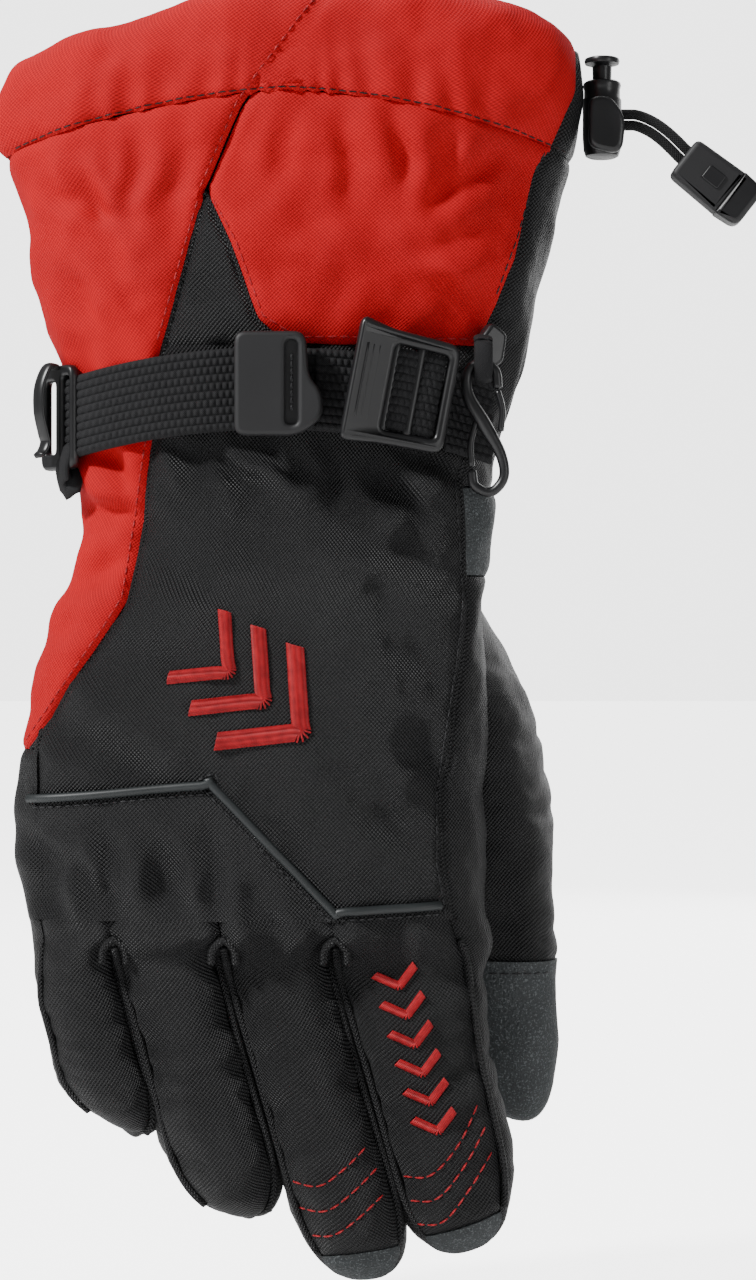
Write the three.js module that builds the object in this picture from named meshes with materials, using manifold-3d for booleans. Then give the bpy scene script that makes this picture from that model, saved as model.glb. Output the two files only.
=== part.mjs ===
// Insulated gauntlet ski glove for the right hand, in millimetres.
// It hangs as it is worn on a lowered arm: +Z runs up the forearm, the fingers point down, the back of the hand
// faces -Y, the palm faces +Y and the thumb is on the +X side. The origin is the centre of the cuff's mouth.
import * as THREE from "three";
import { mergeVertices } from "three/addons/utils/BufferGeometryUtils.js";
import Module from "manifold-3d";

const wasm = await Module();
wasm.setup();

// Driving dimensions.
const GAP = 0.4; // between neighbouring pieces
const SHELL = 1.4; // outer fabric with its backing
const LINING = 1.0;
const INSULATION = 2;
const MEMBRANE = 0.5;
const HEM_BOTTOM = -30;
const GAUNTLET_BOTTOM = -122; // where the insulated hand starts
const KNUCKLES = -237; // hinge line of the fingers
const STRAP_Z = -100;
const STRAP_WIDTH = 20;
const STRAP_THICK = 1.4;
const FINGER_SLANT = 15; // degrees that the fingers lean towards the thumb
const HALF_FLEX = Math.tan(THREE.MathUtils.degToRad(26)); // slope of each side of the palm-side finger gap
const PALM_CUT = 19 * HALF_FLEX; // height of the palm's bottom edge above the knuckles
const CORD_RADIUS = 1.3;

const materials = {
  red_fabric: paint(0xd81e1c, 0.8),
  black_fabric: paint(0x17181a, 0.85),
  grey_leather: paint(0x3a3f40, 0.7),
  lining: paint(0x2b2c2e, 0.95),
  insulation: paint(0xd8d8d4, 1),
  membrane: paint(0x9fb4bf, 0.6),
  webbing: paint(0x141516, 0.9),
  plastic: paint(0x1b1c1d, 0.5),
  cord: paint(0x18191a, 0.9),
  piping: paint(0x4c5254, 0.55),
  embroidery: paint(0xc0182a, 0.6),
  spring: paint(0x9a9c9e, 0.35, 1),
};

function paint(color, roughness, metalness = 0) {
  return new THREE.MeshStandardMaterial({ color, roughness, metalness });
}

const glove = new THREE.Group();

function add(name, geometry, material, parent = glove) {
  const mesh = new THREE.Mesh(geometry, materials[material]);
  mesh.name = name;
  parent.add(mesh);
  return mesh;
}

function group(x, y, z, parent = glove) {
  const made = new THREE.Group();
  made.position.set(x, y, z);
  parent.add(made);
  return made;
}

// ---- Cross-sections -------------------------------------------------------------------------------------------

// Stations down the glove: height, left edge, right edge, depth of the back half, depth of the palm half.
const STATIONS = [
  [0, -66.5, 66.5, 23, 23],
  [-15, -69, 71.5, 25, 25],
  [-34, -71, 71.5, 27, 27],
  [-52, -66.5, 66, 27, 27],
  [-80, -61, 60, 25, 26],
  [-112, -52.5, 52, 22, 24],
  [-136, -51.5, 48.5, 21, 23],
  [-152, -58, 47.5, 22, 24],
  [-172, -65, 48.5, 22, 24],
  [-205, -68, 50, 21, 23],
  [-237, -66, 52, 18, 19],
];
const SQUARENESS = 2.4; // exponent of the superellipse sections

// Smooth value of one station column at a height, by Catmull-Rom between the stations.
function along(column, z) {
  const last = STATIONS.length - 1;
  let i = STATIONS.findIndex((s) => s[0] <= z);
  i = i < 0 ? last : Math.max(1, i);
  const rows = [i - 2, i - 1, i, i + 1].map((k) => STATIONS[Math.min(last, Math.max(0, k))]);
  const t = (z - rows[1][0]) / (rows[2][0] - rows[1][0]);
  const [a, b, c, d] = rows.map((r) => r[column]);
  return b + 0.5 * t * (c - a + t * (2 * a - 5 * b + 4 * c - d + t * (3 * (b - c) + d - a)));
}

const signedPower = (v, p) => Math.sign(v) * Math.abs(v) ** p;

// Point of the hand and gauntlet at an angle: 0 is the thumb side, 90 the back, 180 the little finger's side and
// 270 the palm. Inset moves it inwards.
function handPoint(z, degrees, inset) {
  const angle = THREE.MathUtils.degToRad(degrees);
  const [left, right, back, palm] = [1, 2, 3, 4].map((column) => along(column, z));
  const depth = (Math.sin(angle) > 0 ? back : palm) - inset;
  return new THREE.Vector3(
    (left + right) / 2 + ((right - left) / 2 - inset) * signedPower(Math.cos(angle), 2 / SQUARENESS),
    -depth * signedPower(Math.sin(angle), 2 / SQUARENESS),
    z,
  );
}

// The angle at which the back of the glove reaches a given x.
function angleAt(z, x) {
  const [left, right] = [along(1, z), along(2, z)];
  const share = THREE.MathUtils.clamp((x - (left + right) / 2) / ((right - left) / 2), -1, 1);
  return THREE.MathUtils.radToDeg(Math.acos(signedPower(share, SQUARENESS / 2)));
}

// Straight-line value through points [z, value] that run downwards.
function line(points, z) {
  if (z >= points[0][0]) return points[0][1];
  const i = points.findIndex((p) => p[0] <= z);
  if (i < 0) return points.at(-1)[1];
  const [[z0, v0], [z1, v1]] = [points[i - 1], points[i]];
  return v0 + ((z - z0) / (z1 - z0)) * (v1 - v0);
}

// ---- Closed sheets --------------------------------------------------------------------------------------------

// A closed sheet between an outer and an inner grid of points. pointAt(s, t, depth) has s down the sheet, t across
// it and depth 0 outside or 1 inside. A wrapped sheet joins its two sides, and a capped one closes to a point at s 1.
function sheet(pointAt, rows, columns, { wrapped = false, capped = false } = {}) {
  const vertices = [];
  const faces = [];
  const across = wrapped ? columns : columns + 1;
  const index = (layer, r, c) => (layer * (rows + 1) + r) * across + (wrapped ? c % columns : c);
  for (const layer of [0, 1])
    for (let r = 0; r <= rows; r++)
      for (let c = 0; c < across; c++) vertices.push(...pointAt(r / rows, c / columns, layer).toArray());
  const quad = (a, b, c, d) => faces.push(a, b, c, a, c, d);
  for (let r = 0; r < rows; r++)
    for (let c = 0; c < columns; c++) {
      quad(index(0, r, c), index(0, r + 1, c), index(0, r + 1, c + 1), index(0, r, c + 1));
      quad(index(1, r, c), index(1, r, c + 1), index(1, r + 1, c + 1), index(1, r + 1, c));
    }
  for (let c = 0; c < columns; c++) {
    quad(index(0, 0, c), index(0, 0, c + 1), index(1, 0, c + 1), index(1, 0, c));
    if (!capped) quad(index(0, rows, c), index(1, rows, c), index(1, rows, c + 1), index(0, rows, c + 1));
  }
  for (let r = 0; r < rows && !wrapped; r++) {
    quad(index(0, r, 0), index(1, r, 0), index(1, r + 1, 0), index(0, r + 1, 0));
    quad(index(0, r, columns), index(0, r + 1, columns), index(1, r + 1, columns), index(1, r, columns));
  }
  return facingOut(vertices, faces);
}

function facingOut(vertices, faces) {
  let geometry = new THREE.BufferGeometry();
  geometry.setAttribute("position", new THREE.Float32BufferAttribute(vertices, 3));
  geometry.setIndex(faces);
  geometry = mergeVertices(geometry, 1e-4);
  const p = geometry.attributes.position;
  const kept = [];
  let volume = 0;
  const corner = [new THREE.Vector3(), new THREE.Vector3(), new THREE.Vector3()];
  for (let i = 0; i < geometry.index.count; i += 3) {
    const ids = [0, 1, 2].map((k) => geometry.index.getX(i + k));
    if (new Set(ids).size < 3) continue;
    ids.forEach((id, k) => corner[k].fromBufferAttribute(p, id));
    volume += corner[0].dot(corner[1].clone().cross(corner[2]));
    kept.push(ids);
  }
  geometry.setIndex(kept.flatMap((ids) => (volume < 0 ? ids.reverse() : ids)));
  return geometry;
}

// A panel of the hand or gauntlet. from and to give its side angles at a height; top and bottom are heights, as
// numbers or as functions of the share across.
function panel({ top, bottom, from, to, inset = 0, thick = SHELL, rows = 6, columns = 8, wrapped = false }) {
  const value = (v, at) => (typeof v === "function" ? v(at) : v);
  return sheet(
    (s, t, layer) => {
      const z = THREE.MathUtils.lerp(value(top, t), value(bottom, t), s);
      const angle = THREE.MathUtils.lerp(value(from, z), value(to, z), t);
      return handPoint(z, angle, inset + layer * thick);
    },
    rows,
    columns,
    { wrapped },
  );
}

// ---- Booleans and small solids --------------------------------------------------------------------------------

function solid(geometry) {
  const bare = geometry.clone();
  bare.deleteAttribute("normal");
  bare.deleteAttribute("uv");
  const merged = mergeVertices(bare, 1e-4);
  return new wasm.Manifold(
    new wasm.Mesh({
      numProp: 3,
      vertProperties: new Float32Array(merged.attributes.position.array),
      triVerts: new Uint32Array(merged.index.array),
    }),
  );
}

function geometryOf(made) {
  const mesh = made.getMesh();
  return new THREE.BufferGeometry()
    .setAttribute("position", new THREE.BufferAttribute(mesh.vertProperties, 3))
    .setIndex(new THREE.BufferAttribute(mesh.triVerts, 1));
}

const cut = (body, ...tools) => geometryOf(tools.reduce((made, t) => made.subtract(solid(t)), solid(body)));
const join = (body, ...others) => geometryOf(others.reduce((made, o) => made.add(solid(o)), solid(body)));
const box = (w, d, h, x = 0, y = 0, z = 0) => new THREE.BoxGeometry(w, d, h).translate(x, y, z);

// A closed rectangle outline with rounded corners, as a shape or, for a hole, a path.
function roundedRectangle(width, height, radius, Kind = THREE.Shape, x = 0, y = 0) {
  const [w, h] = [width / 2, height / 2];
  const outline = new Kind();
  outline.absarc(x + w - radius, y + h - radius, radius, 0, Math.PI / 2);
  outline.absarc(x - w + radius, y + h - radius, radius, Math.PI / 2, Math.PI);
  outline.absarc(x - w + radius, y - h + radius, radius, Math.PI, 1.5 * Math.PI);
  outline.absarc(x + w - radius, y - h + radius, radius, 1.5 * Math.PI, 2 * Math.PI);
  outline.closePath();
  return outline;
}

// An outline drawn in x and z, thickened along y about the middle of the plate.
function plate(shape, thick, curveSegments = 4) {
  return new THREE.ExtrudeGeometry(shape, { depth: thick, bevelEnabled: false, curveSegments })
    .translate(0, 0, -thick / 2)
    .rotateX(Math.PI / 2);
}

// A round tube along a list of points.
function tube(points, radius, { steps = 24, sides = 8, closed = false } = {}) {
  const section = new THREE.Shape();
  section.absarc(0, 0, radius, 0, 2 * Math.PI);
  const curve = new THREE.CatmullRomCurve3(points.map((p) => new THREE.Vector3(...p)), closed);
  return new THREE.ExtrudeGeometry(section, { steps, curveSegments: sides / 2, extrudePath: curve });
}

// ---- Gauntlet -------------------------------------------------------------------------------------------------

const BELOW_HEM = HEM_BOTTOM - GAP;
// The seam between the left coloured panel and the black centre, which starts at the top of a pointed inset.
const POINT_Z = -51;
const LEFT_PANEL_BOTTOM = -186;
const leftSeam = (z) => line([[BELOW_HEM, -11], [POINT_Z, -20], [-90, -31.5], [-112, -33.5], [-150, -40], [-186, -64]], z);
const rightSeam = (z) => line([[BELOW_HEM, -11], [POINT_Z, -20], [-84, -5.5], [-89, 1]], z);
const thumbSideSeam = (z) => line([[BELOW_HEM, 68.5], [-42, 65], [-62, 57.5], [-88, 47], [-120, 43], [-150, 44]], z);
const SEAM_GAP = 0.6; // degrees between panels round the glove

add("cuff_hem", panel({ top: 0, bottom: HEM_BOTTOM, from: 0, to: 360, rows: 4, columns: 28, wrapped: true }), "red_fabric");
add(
  "gauntlet_panel_left",
  panel({
    top: BELOW_HEM,
    bottom: LEFT_PANEL_BOTTOM,
    from: (z) => angleAt(z, leftSeam(z)) + SEAM_GAP,
    to: 206,
    rows: 12,
    columns: 10,
  }),
  "red_fabric",
);
add(
  "gauntlet_panel_right",
  panel({
    top: BELOW_HEM,
    bottom: -88,
    from: (z) => angleAt(z, thumbSideSeam(z)) + SEAM_GAP,
    to: (z) => angleAt(z, rightSeam(z)) - SEAM_GAP,
  }),
  "red_fabric",
);
const sideGussetBack = (z) => angleAt(z, thumbSideSeam(z)) - SEAM_GAP;
add(
  "gauntlet_side_gusset",
  panel({ top: BELOW_HEM, bottom: GAUNTLET_BOTTOM, from: -52, to: sideGussetBack }),
  "black_fabric",
);
add(
  "gauntlet_under_panel",
  panel({ top: BELOW_HEM, bottom: GAUNTLET_BOTTOM, from: 207, to: 307, rows: 5 }),
  "black_fabric",
);

// ---- Back of the hand -----------------------------------------------------------------------------------------

// The piping runs level over the little finger's side, drops over the middle of the hand and runs level again.
const PIPING_WIDTH = 1.8;
const pipingZ = (x) => -line([[66, 199.5], [18, 196.5], [-9, 225.5], [-42, 225.5]].map(([at, z]) => [at, z]), -x);
const BACK_LEFT = -62;
const BACK_RIGHT = 42;

// A panel of the back whose rows follow x rather than the angle.
function backPanel({ top, bottom, left, right, inset = 0, thick = SHELL, rows, columns }) {
  return sheet(
    (s, t, layer) => {
      let x = THREE.MathUtils.lerp(BACK_LEFT, BACK_RIGHT, t);
      const z = THREE.MathUtils.lerp(top(x), bottom(x), s);
      x = THREE.MathUtils.lerp(left(z), right(z), t);
      return handPoint(z, angleAt(z, x), inset + layer * thick);
    },
    rows,
    columns,
  );
}
add(
  "gauntlet_centre_inset",
  panel({
    top: POINT_Z - 4,
    bottom: -88,
    from: (z) => angleAt(z, rightSeam(z) - 1),
    to: (z) => angleAt(z, leftSeam(z) + 1),
    rows: 5,
    columns: 4,
  }),
  "black_fabric",
);
add(
  "hand_back_panel",
  backPanel({
    top: () => -88.6,
    bottom: (x) => pipingZ(x) + PIPING_WIDTH / 2 + GAP,
    left: (z) => Math.max(leftSeam(z) + 1.4, BACK_LEFT),
    right: (z) => Math.min(thumbSideSeam(z) - 1, BACK_RIGHT),
    rows: 8,
    columns: 14,
  }),
  "black_fabric",
);
add(
  "knuckle_piping",
  backPanel({
    top: (x) => pipingZ(x) + PIPING_WIDTH / 2,
    bottom: (x) => pipingZ(x) - PIPING_WIDTH / 2,
    left: () => BACK_LEFT,
    right: () => BACK_RIGHT,
    inset: -0.8,
    thick: SHELL + 0.8,
    rows: 1,
    columns: 14,
  }),
  "piping",
);
add(
  "knuckle_panel",
  backPanel({
    top: (x) => pipingZ(x) - PIPING_WIDTH / 2 - GAP,
    bottom: () => KNUCKLES + 1,
    left: () => BACK_LEFT,
    right: () => BACK_RIGHT,
    rows: 3,
    columns: 14,
  }),
  "black_fabric",
);
add(
  "hand_side_little_finger",
  panel({
    top: LEFT_PANEL_BOTTOM - GAP,
    bottom: (t) => KNUCKLES + 1 + PALM_CUT * THREE.MathUtils.clamp((t - 0.42) / 0.58, 0, 1),
    from: (z) => angleAt(z, BACK_LEFT) + 1.2,
    to: 206,
    rows: 4,
    columns: 4,
  }),
  "black_fabric",
);

// ---- Thumb side and palm --------------------------------------------------------------------------------------

const PALM_TOP = GAUNTLET_BOTTOM - GAP;
const thumbSideBack = (z) => angleAt(z, Math.min(thumbSideSeam(z), 43)) - 1.2;
// The palm and the layers inside it stop short where the thumb is set in.
const THUMB_OPENING = [-158, -206];
const besideThumb = (z, edge, opened) => (z < THUMB_OPENING[0] && z > THUMB_OPENING[1] ? opened : edge);
const palmEdge = (z) => besideThumb(z, 318, 294);
add(
  "hand_side_thumb",
  panel({
    top: PALM_TOP - 22,
    bottom: (t) => KNUCKLES + 1 + PALM_CUT * Math.max(0, 1 - t / 0.45),
    from: -41,
    to: thumbSideBack,
    rows: 7,
    columns: 5,
  }),
  "black_fabric",
);
add(
  "wrist_patch",
  panel({ top: PALM_TOP, bottom: PALM_TOP - 21.6, from: -41, to: thumbSideBack, rows: 3, columns: 5 }),
  "grey_leather",
);
add(
  "palm_panel",
  panel({ top: PALM_TOP, bottom: KNUCKLES + 1 + PALM_CUT, from: 207, to: palmEdge, rows: 9, columns: 10 }),
  "grey_leather",
);
const PALM_PATCH = { x: -8, z: -182, width: 38, height: 58, thick: 1.2 };
add(
  "palm_reinforcement",
  plate(roundedRectangle(PALM_PATCH.width, PALM_PATCH.height, 8), PALM_PATCH.thick).translate(
    PALM_PATCH.x,
    24.6 + PALM_PATCH.thick / 2,
    PALM_PATCH.z,
  ),
  "grey_leather",
);

// ---- Inner layers ---------------------------------------------------------------------------------------------

const INSULATION_IN = SHELL + 1.6;
const LAYER_GAP = 0.7;
const MEMBRANE_IN = INSULATION_IN + INSULATION + LAYER_GAP;
const LINING_IN = MEMBRANE_IN + MEMBRANE + LAYER_GAP;
const insulation = { inset: INSULATION_IN, thick: INSULATION, rows: 7, columns: 12 };
add(
  "insulation_back",
  panel({ top: PALM_TOP, bottom: KNUCKLES + 9, from: 12, to: 162, ...insulation }),
  "insulation",
);
add(
  "insulation_palm",
  panel({ top: PALM_TOP, bottom: KNUCKLES + 9, from: 198, to: 291, ...insulation }),
  "insulation",
);
add(
  "waterproof_membrane",
  panel({
    top: PALM_TOP,
    bottom: KNUCKLES + 9,
    from: -41,
    to: (z) => besideThumb(z, 317, 292),
    inset: MEMBRANE_IN,
    thick: MEMBRANE,
    rows: 7,
    columns: 18,
  }),
  "membrane",
);
add(
  "hand_lining",
  panel({
    top: PALM_TOP,
    bottom: KNUCKLES + 9,
    from: -41,
    to: (z) => besideThumb(z, 317, 292),
    inset: LINING_IN,
    thick: LINING,
    rows: 7,
    columns: 18,
  }),
  "lining",
);
add(
  "gauntlet_lining",
  panel({
    top: -4,
    bottom: GAUNTLET_BOTTOM,
    from: 0,
    to: 360,
    inset: SHELL + 3.4,
    thick: LINING,
    rows: 5,
    columns: 24,
    wrapped: true,
  }),
  "lining",
);
// The elastic drawcord inside the hem, round to the cord lock.
const DRAWCORD_Z = -30;
const drawcordPath = Array.from({ length: 24 }, (_, i) =>
  handPoint(DRAWCORD_Z + 8, (i / 24) * 340 + 10, SHELL + 1.7).toArray(),
);
add("hem_drawcord", tube(drawcordPath, 1.1, { steps: 30, sides: 6 }), "cord");

// ---- Fingers --------------------------------------------------------------------------------------------------

// Each finger: name, x of its hinge, length, half width, half depth.
const FINGERS = [
  ["little", -56.5, 47, 11, 11],
  ["ring", -31, 70, 12.4, 12.5],
  ["middle", -3.8, 83, 12.6, 13],
  ["index", 23.5, 78, 12.6, 13],
];
const TIP_START = 0.72; // share of the length where the tip starts to round off

// A finger's surface in its own frame: s down its length and the angle as for the hand.
function fingerPoint({ length, width, depth }, s, degrees, inset, slope) {
  const angle = THREE.MathUtils.degToRad(degrees);
  const round = Math.max(0, (s - TIP_START) / (1 - TIP_START));
  const swell = round > 0.9999 ? 0 : Math.sqrt(1 - round ** 2.6);
  const y = -(depth - inset) * signedPower(Math.sin(angle), 2 / SQUARENESS) * swell;
  const top = -0.6 - slope * Math.max(0, y);
  return new THREE.Vector3(
    (width - inset) * signedPower(Math.cos(angle), 2 / SQUARENESS) * swell,
    y,
    THREE.MathUtils.lerp(top, -(length - inset), s),
  );
}

function fingerLayer(size, from, to, inset, thick, slope, rows, columns) {
  const wrapped = to - from >= 360;
  return sheet(
    (s, t, layer) => {
      const eased = 1 - (1 - s) ** 1.25;
      return fingerPoint(size, eased, THREE.MathUtils.lerp(from, to, t), inset + layer * thick, slope);
    },
    rows,
    columns,
    { wrapped, capped: true },
  );
}

for (const [name, x, length, width, depth] of FINGERS) {
  const finger = group(x, 0, KNUCKLES);
  finger.rotation.y = THREE.MathUtils.degToRad(-FINGER_SLANT);
  const size = { length, width, depth };
  const side = 5; // degrees past the middle where the palm leather meets the back
  const backAndPalm = [
    [`${name}_finger_back`, side, 180 - side, "black_fabric"],
    [`${name}_finger_palm`, 180 - side + 1.5, 360 + side - 1.5, "grey_leather"],
  ];
  for (const [node, from, to, material] of backAndPalm) {
    const half = fingerLayer(size, from, to, 0, SHELL, HALF_FLEX, 9, 8);
    add(node, cut(half, dividing(material, length)), material, finger);
  }
  add(`${name}_finger_lining`, fingerLayer(size, 0, 360, SHELL + 1.2, LINING, HALF_FLEX, 7, 10), "lining", finger);
}

// A thin wedge that keeps the back and palm halves of a finger apart at its tip.
function dividing(material, length) {
  const y = material === "black_fabric" ? 6 - 0.2 : -6 + 0.2;
  return box(60, 12, 12, 0, y, -length - 4);
}

// ---- Thumb ----------------------------------------------------------------------------------------------------

const THUMB = { x: 49.8, y: 33, z: -168, length: 116, width: 11.5, depth: 13, slant: 6 };
const thumb = group(THUMB.x, THUMB.y, THUMB.z);
thumb.rotation.y = THREE.MathUtils.degToRad(-THUMB.slant);
const CAP_START = -75; // height in the thumb's frame where the leather tip cap starts
const thumbBack = fingerLayer(THUMB, 4, 176, 0, SHELL, 0, 12, 8);
const thumbPalm = fingerLayer(THUMB, 177.5, 362.5, 0, SHELL, 0, 12, 8);
const belowCap = box(60, 60, 80, 0, 0, CAP_START - 40 + GAP / 2);
const aboveCap = box(60, 60, 200, 0, 0, CAP_START + 100 - GAP / 2);
// The gusset is a dome over the thumb's root, open towards the hand.
const GUSSET_HEIGHT = 26;
const dome = fingerLayer({ ...THUMB, length: GUSSET_HEIGHT }, 0, 360, 0, SHELL, 0, 8, 14)
  .rotateX(Math.PI)
  .translate(0, 0, 0.2);
add("thumb_gusset", cut(dome, box(34, 20, 60, -3, -13.5, 8)), "black_fabric", thumb);
add("thumb_back", cut(thumbBack, belowCap), "black_fabric", thumb);
add(
  "thumb_tip_cap",
  cut(thumbBack, aboveCap, dividing("black_fabric", THUMB.length)),
  "grey_leather",
  thumb,
);
add("thumb_palm", cut(thumbPalm, dividing("grey_leather", THUMB.length)), "grey_leather", thumb);
add("thumb_lining", fingerLayer(THUMB, 0, 360, SHELL + 1.2, LINING, 0, 8, 10), "lining", thumb);

// ---- Wrist strap ----------------------------------------------------------------------------------------------

const strapTop = STRAP_Z + STRAP_WIDTH / 2;
const strapBottom = STRAP_Z - STRAP_WIDTH / 2;
const BUCKLE_X = 14; // left end of the ladder-lock buckle
const CLIP_X = -50;
function strapPiece(fromX, toX, inset, columns) {
  return panel({
    top: strapTop,
    bottom: strapBottom,
    from: (z) => angleAt(z, toX),
    to: (z) => angleAt(z, fromX),
    inset: -inset - STRAP_THICK,
    thick: STRAP_THICK,
    rows: 2,
    columns,
  });
}
add("wrist_strap", strapPiece(CLIP_X, 33, 1.6, 14), "webbing");
add("strap_tail", strapPiece(9.2, 24, 3.6, 4), "webbing");

const TAB = { x: -2.5, width: 22, height: 25, thick: 4.4 };
const tabY = handPoint(STRAP_Z, angleAt(STRAP_Z, TAB.x), -4.4).y - TAB.thick / 2;
const tabGroup = group(TAB.x, tabY, STRAP_Z + 2);
const tabShape = new THREE.Shape();
tabShape.moveTo(-8.5, -12.5);
tabShape.lineTo(5, -12.5);
tabShape.bezierCurveTo(9.5, -12, 11.4, -7.5, 10.6, -3);
tabShape.bezierCurveTo(9.8, 1.2, 7.2, 2.5, 7.2, 7);
tabShape.absarc(4.7, 10, 2.5, 0, Math.PI / 2);
tabShape.lineTo(-8.5, 12.5);
tabShape.absarc(-8.5, 10, 2.5, Math.PI / 2, Math.PI);
tabShape.absarc(-8.5, -10, 2.5, Math.PI, 1.5 * Math.PI);
tabShape.closePath();
const tabGroove = plate(roundedRectangle(3, 20, 1.4), 1.2).translate(3.6, -TAB.thick / 2, 0);
add("strap_end_tab", cut(plate(tabShape, TAB.thick), tabGroove), "plastic", tabGroup);

// ---- Ladder-lock buckle ---------------------------------------------------------------------------------------

// The buckle's frame starts at its left end and lies on the strap, turned to follow the wrist.
const BUCKLE = { length: 27, height: 28, thick: 3, turn: 13 };
const buckle = group(BUCKLE_X, handPoint(STRAP_Z, angleAt(STRAP_Z, BUCKLE_X), -9.6).y, STRAP_Z + 1);
buckle.rotation.z = THREE.MathUtils.degToRad(BUCKLE.turn);
const frameShape = roundedRectangle(BUCKLE.length, BUCKLE.height, 3, THREE.Shape, BUCKLE.length / 2, 0);
frameShape.holes.push(roundedRectangle(6, 21.5, 0.8, THREE.Path, 13.5, 0));
frameShape.holes.push(roundedRectangle(4.4, 21.5, 0.8, THREE.Path, 21.2, 0));
const thumbLip = plate(roundedRectangle(3.4, BUCKLE.height, 1.4), 2.4).rotateZ(-0.35).translate(0.4, -1.4, 0);
add("ladder_lock_buckle", join(plate(frameShape, BUCKLE.thick), thumbLip), "plastic", buckle);
// The webbing's turn over the buckle's cross bar.
const turnShape = new THREE.Shape();
turnShape.moveTo(-4.3, 2);
turnShape.lineTo(-4.3, -3.3);
turnShape.lineTo(4, -3.3);
turnShape.lineTo(4, 2);
turnShape.lineTo(2.4, 2);
turnShape.lineTo(2.4, -1.9);
turnShape.lineTo(-2.4, -1.9);
turnShape.lineTo(-2.4, 2);
turnShape.closePath();
add(
  "buckle_webbing_turn",
  new THREE.ExtrudeGeometry(turnShape, { depth: STRAP_WIDTH, bevelEnabled: false }).translate(
    17.8,
    0,
    -STRAP_WIDTH / 2,
  ),
  "webbing",
  buckle,
);
add("buckle_anchor_loop", strapPiece(42.5, 49.5, 0.4, 4), "webbing");

// ---- Glove-to-glove clip on the little finger's side ----------------------------------------------------------

const clip = group(-58.8, -6, STRAP_Z - 5);
clip.rotation.z = THREE.MathUtils.degToRad(90 + 14);
const clipShape = roundedRectangle(15, 26, 3);
clipShape.holes.push(roundedRectangle(3.4, 20.6, 0.8, THREE.Path, -4, 0));
clipShape.holes.push(roundedRectangle(5, 18, 1.2, THREE.Path, 3, 0));
add("clip_frame", plate(clipShape, 2), "plastic", clip);
const TONGUE_WIDTH = 4;
const tongueOutline = new THREE.Shape();
tongueOutline.moveTo(12.5, 1.4);
tongueOutline.bezierCurveTo(12, 6.5, 2, 7.2, -6, 3.4);
tongueOutline.lineTo(-9.5, 6.6);
tongueOutline.lineTo(-8.6, 7.6);
tongueOutline.lineTo(-4.6, 5.2);
tongueOutline.bezierCurveTo(3, 9, 13.6, 8.2, 13, 1.4);
tongueOutline.closePath();
add(
  "clip_tongue",
  new THREE.ExtrudeGeometry(tongueOutline, { depth: TONGUE_WIDTH, bevelEnabled: false, curveSegments: 8 })
    .translate(0, 0, -TONGUE_WIDTH / 2)
    .rotateY(-Math.PI / 2)
    .translate(3, 0, 0),
  "plastic",
  clip,
);

// ---- Double-gated snap hook -----------------------------------------------------------------------------------

// The hook hangs by its upper eye, whose centre is its swing axis.
const HOOK = { x: 47.6, y: -22.5, z: -96, wire: 1.25 };
const hook = group(HOOK.x, HOOK.y, HOOK.z);
const hookPath = [
  [3.6, 0, -2.4],
  [2.6, 0, 2.0],
  [-1, 0, 3.6],
  [-4, 0, 1],
  [-3.4, 0, -4.5],
  [1.2, 0, -12],
  [4.6, 0, -19],
  [5, 0, -24.5],
  [1.8, 0, -28],
  [-2, 0, -26.4],
  [-2.8, 0, -22.8],
];
add("snap_hook", tube(hookPath, HOOK.wire, { steps: 40, sides: 8 }), "plastic", hook);
add("snap_hook_upper_gate", tube([[4, 0, -4.2], [4.6, 0, -8], [4.5, 0, -12]], 0.75, { steps: 6, sides: 6 }), "plastic", hook);
add("snap_hook_lower_gate", tube([[-2.8, 0, -20.8], [-2.9, 0, -16], [-2.2, 0, -11.4]], 0.75, { steps: 6, sides: 6 }), "plastic", hook);
// The webbing loop that carries the hook passes through its eye.
const loopPath = [[0, 3.2, 0.6], [0, -1.2, 0.4], [0, -3, 4.5], [0, -1, 8.6], [0, 3.4, 9]];
add("hook_loop", tube(loopPath, 0.95, { steps: 14, sides: 6 }), "webbing", hook);

// ---- Cord lock, drawcord end and free cords -------------------------------------------------------------------

const LOCK = { x: 78, y: 0, z: -30, width: 9.6, depth: 13, height: 19 };
const lock = group(LOCK.x, LOCK.y, LOCK.z);
const barrel = new THREE.CylinderGeometry(1, 1, LOCK.height, 20)
  .rotateX(Math.PI / 2)
  .scale(LOCK.width / 2, LOCK.depth / 2, 1);
const CORD_SPACING = 3.2; // the two legs of the cord lie one above the other
const cordHole = (dz) =>
  new THREE.CylinderGeometry(CORD_RADIUS + 0.45, CORD_RADIUS + 0.45, 20, 10).rotateZ(Math.PI / 2).translate(0, 0, dz);
const WELL_FLOOR = -8.7;
const well = new THREE.CylinderGeometry(3, 3, 20, 14).rotateX(Math.PI / 2).translate(0, 0, WELL_FLOOR + 10);
add("cord_lock_body", cut(barrel, well, cordHole(CORD_SPACING / 2), cordHole(-CORD_SPACING / 2)), "plastic", lock);
const PRESS = 2.4; // travel of the cord lock's button
const STEM_BOTTOM = -4.6;
const stem = new THREE.CylinderGeometry(2.6, 2.6, 18, 12).rotateX(Math.PI / 2).translate(0, 0, STEM_BOTTOM + 9);
// The cord passes through a slot in the stem, long enough for the button's travel.
const cordSlot = box(12, 3.4, 8.8, 0, 0, 1.2);
const buttonCap = new THREE.CylinderGeometry(1, 1, 1.8, 16)
  .rotateX(Math.PI / 2)
  .scale(4.4, 5.6, 1)
  .translate(0, 0, LOCK.height / 2 + PRESS + 1.4);
add("cord_lock_button", join(cut(stem, cordSlot), buttonCap), "plastic", lock);
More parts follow.
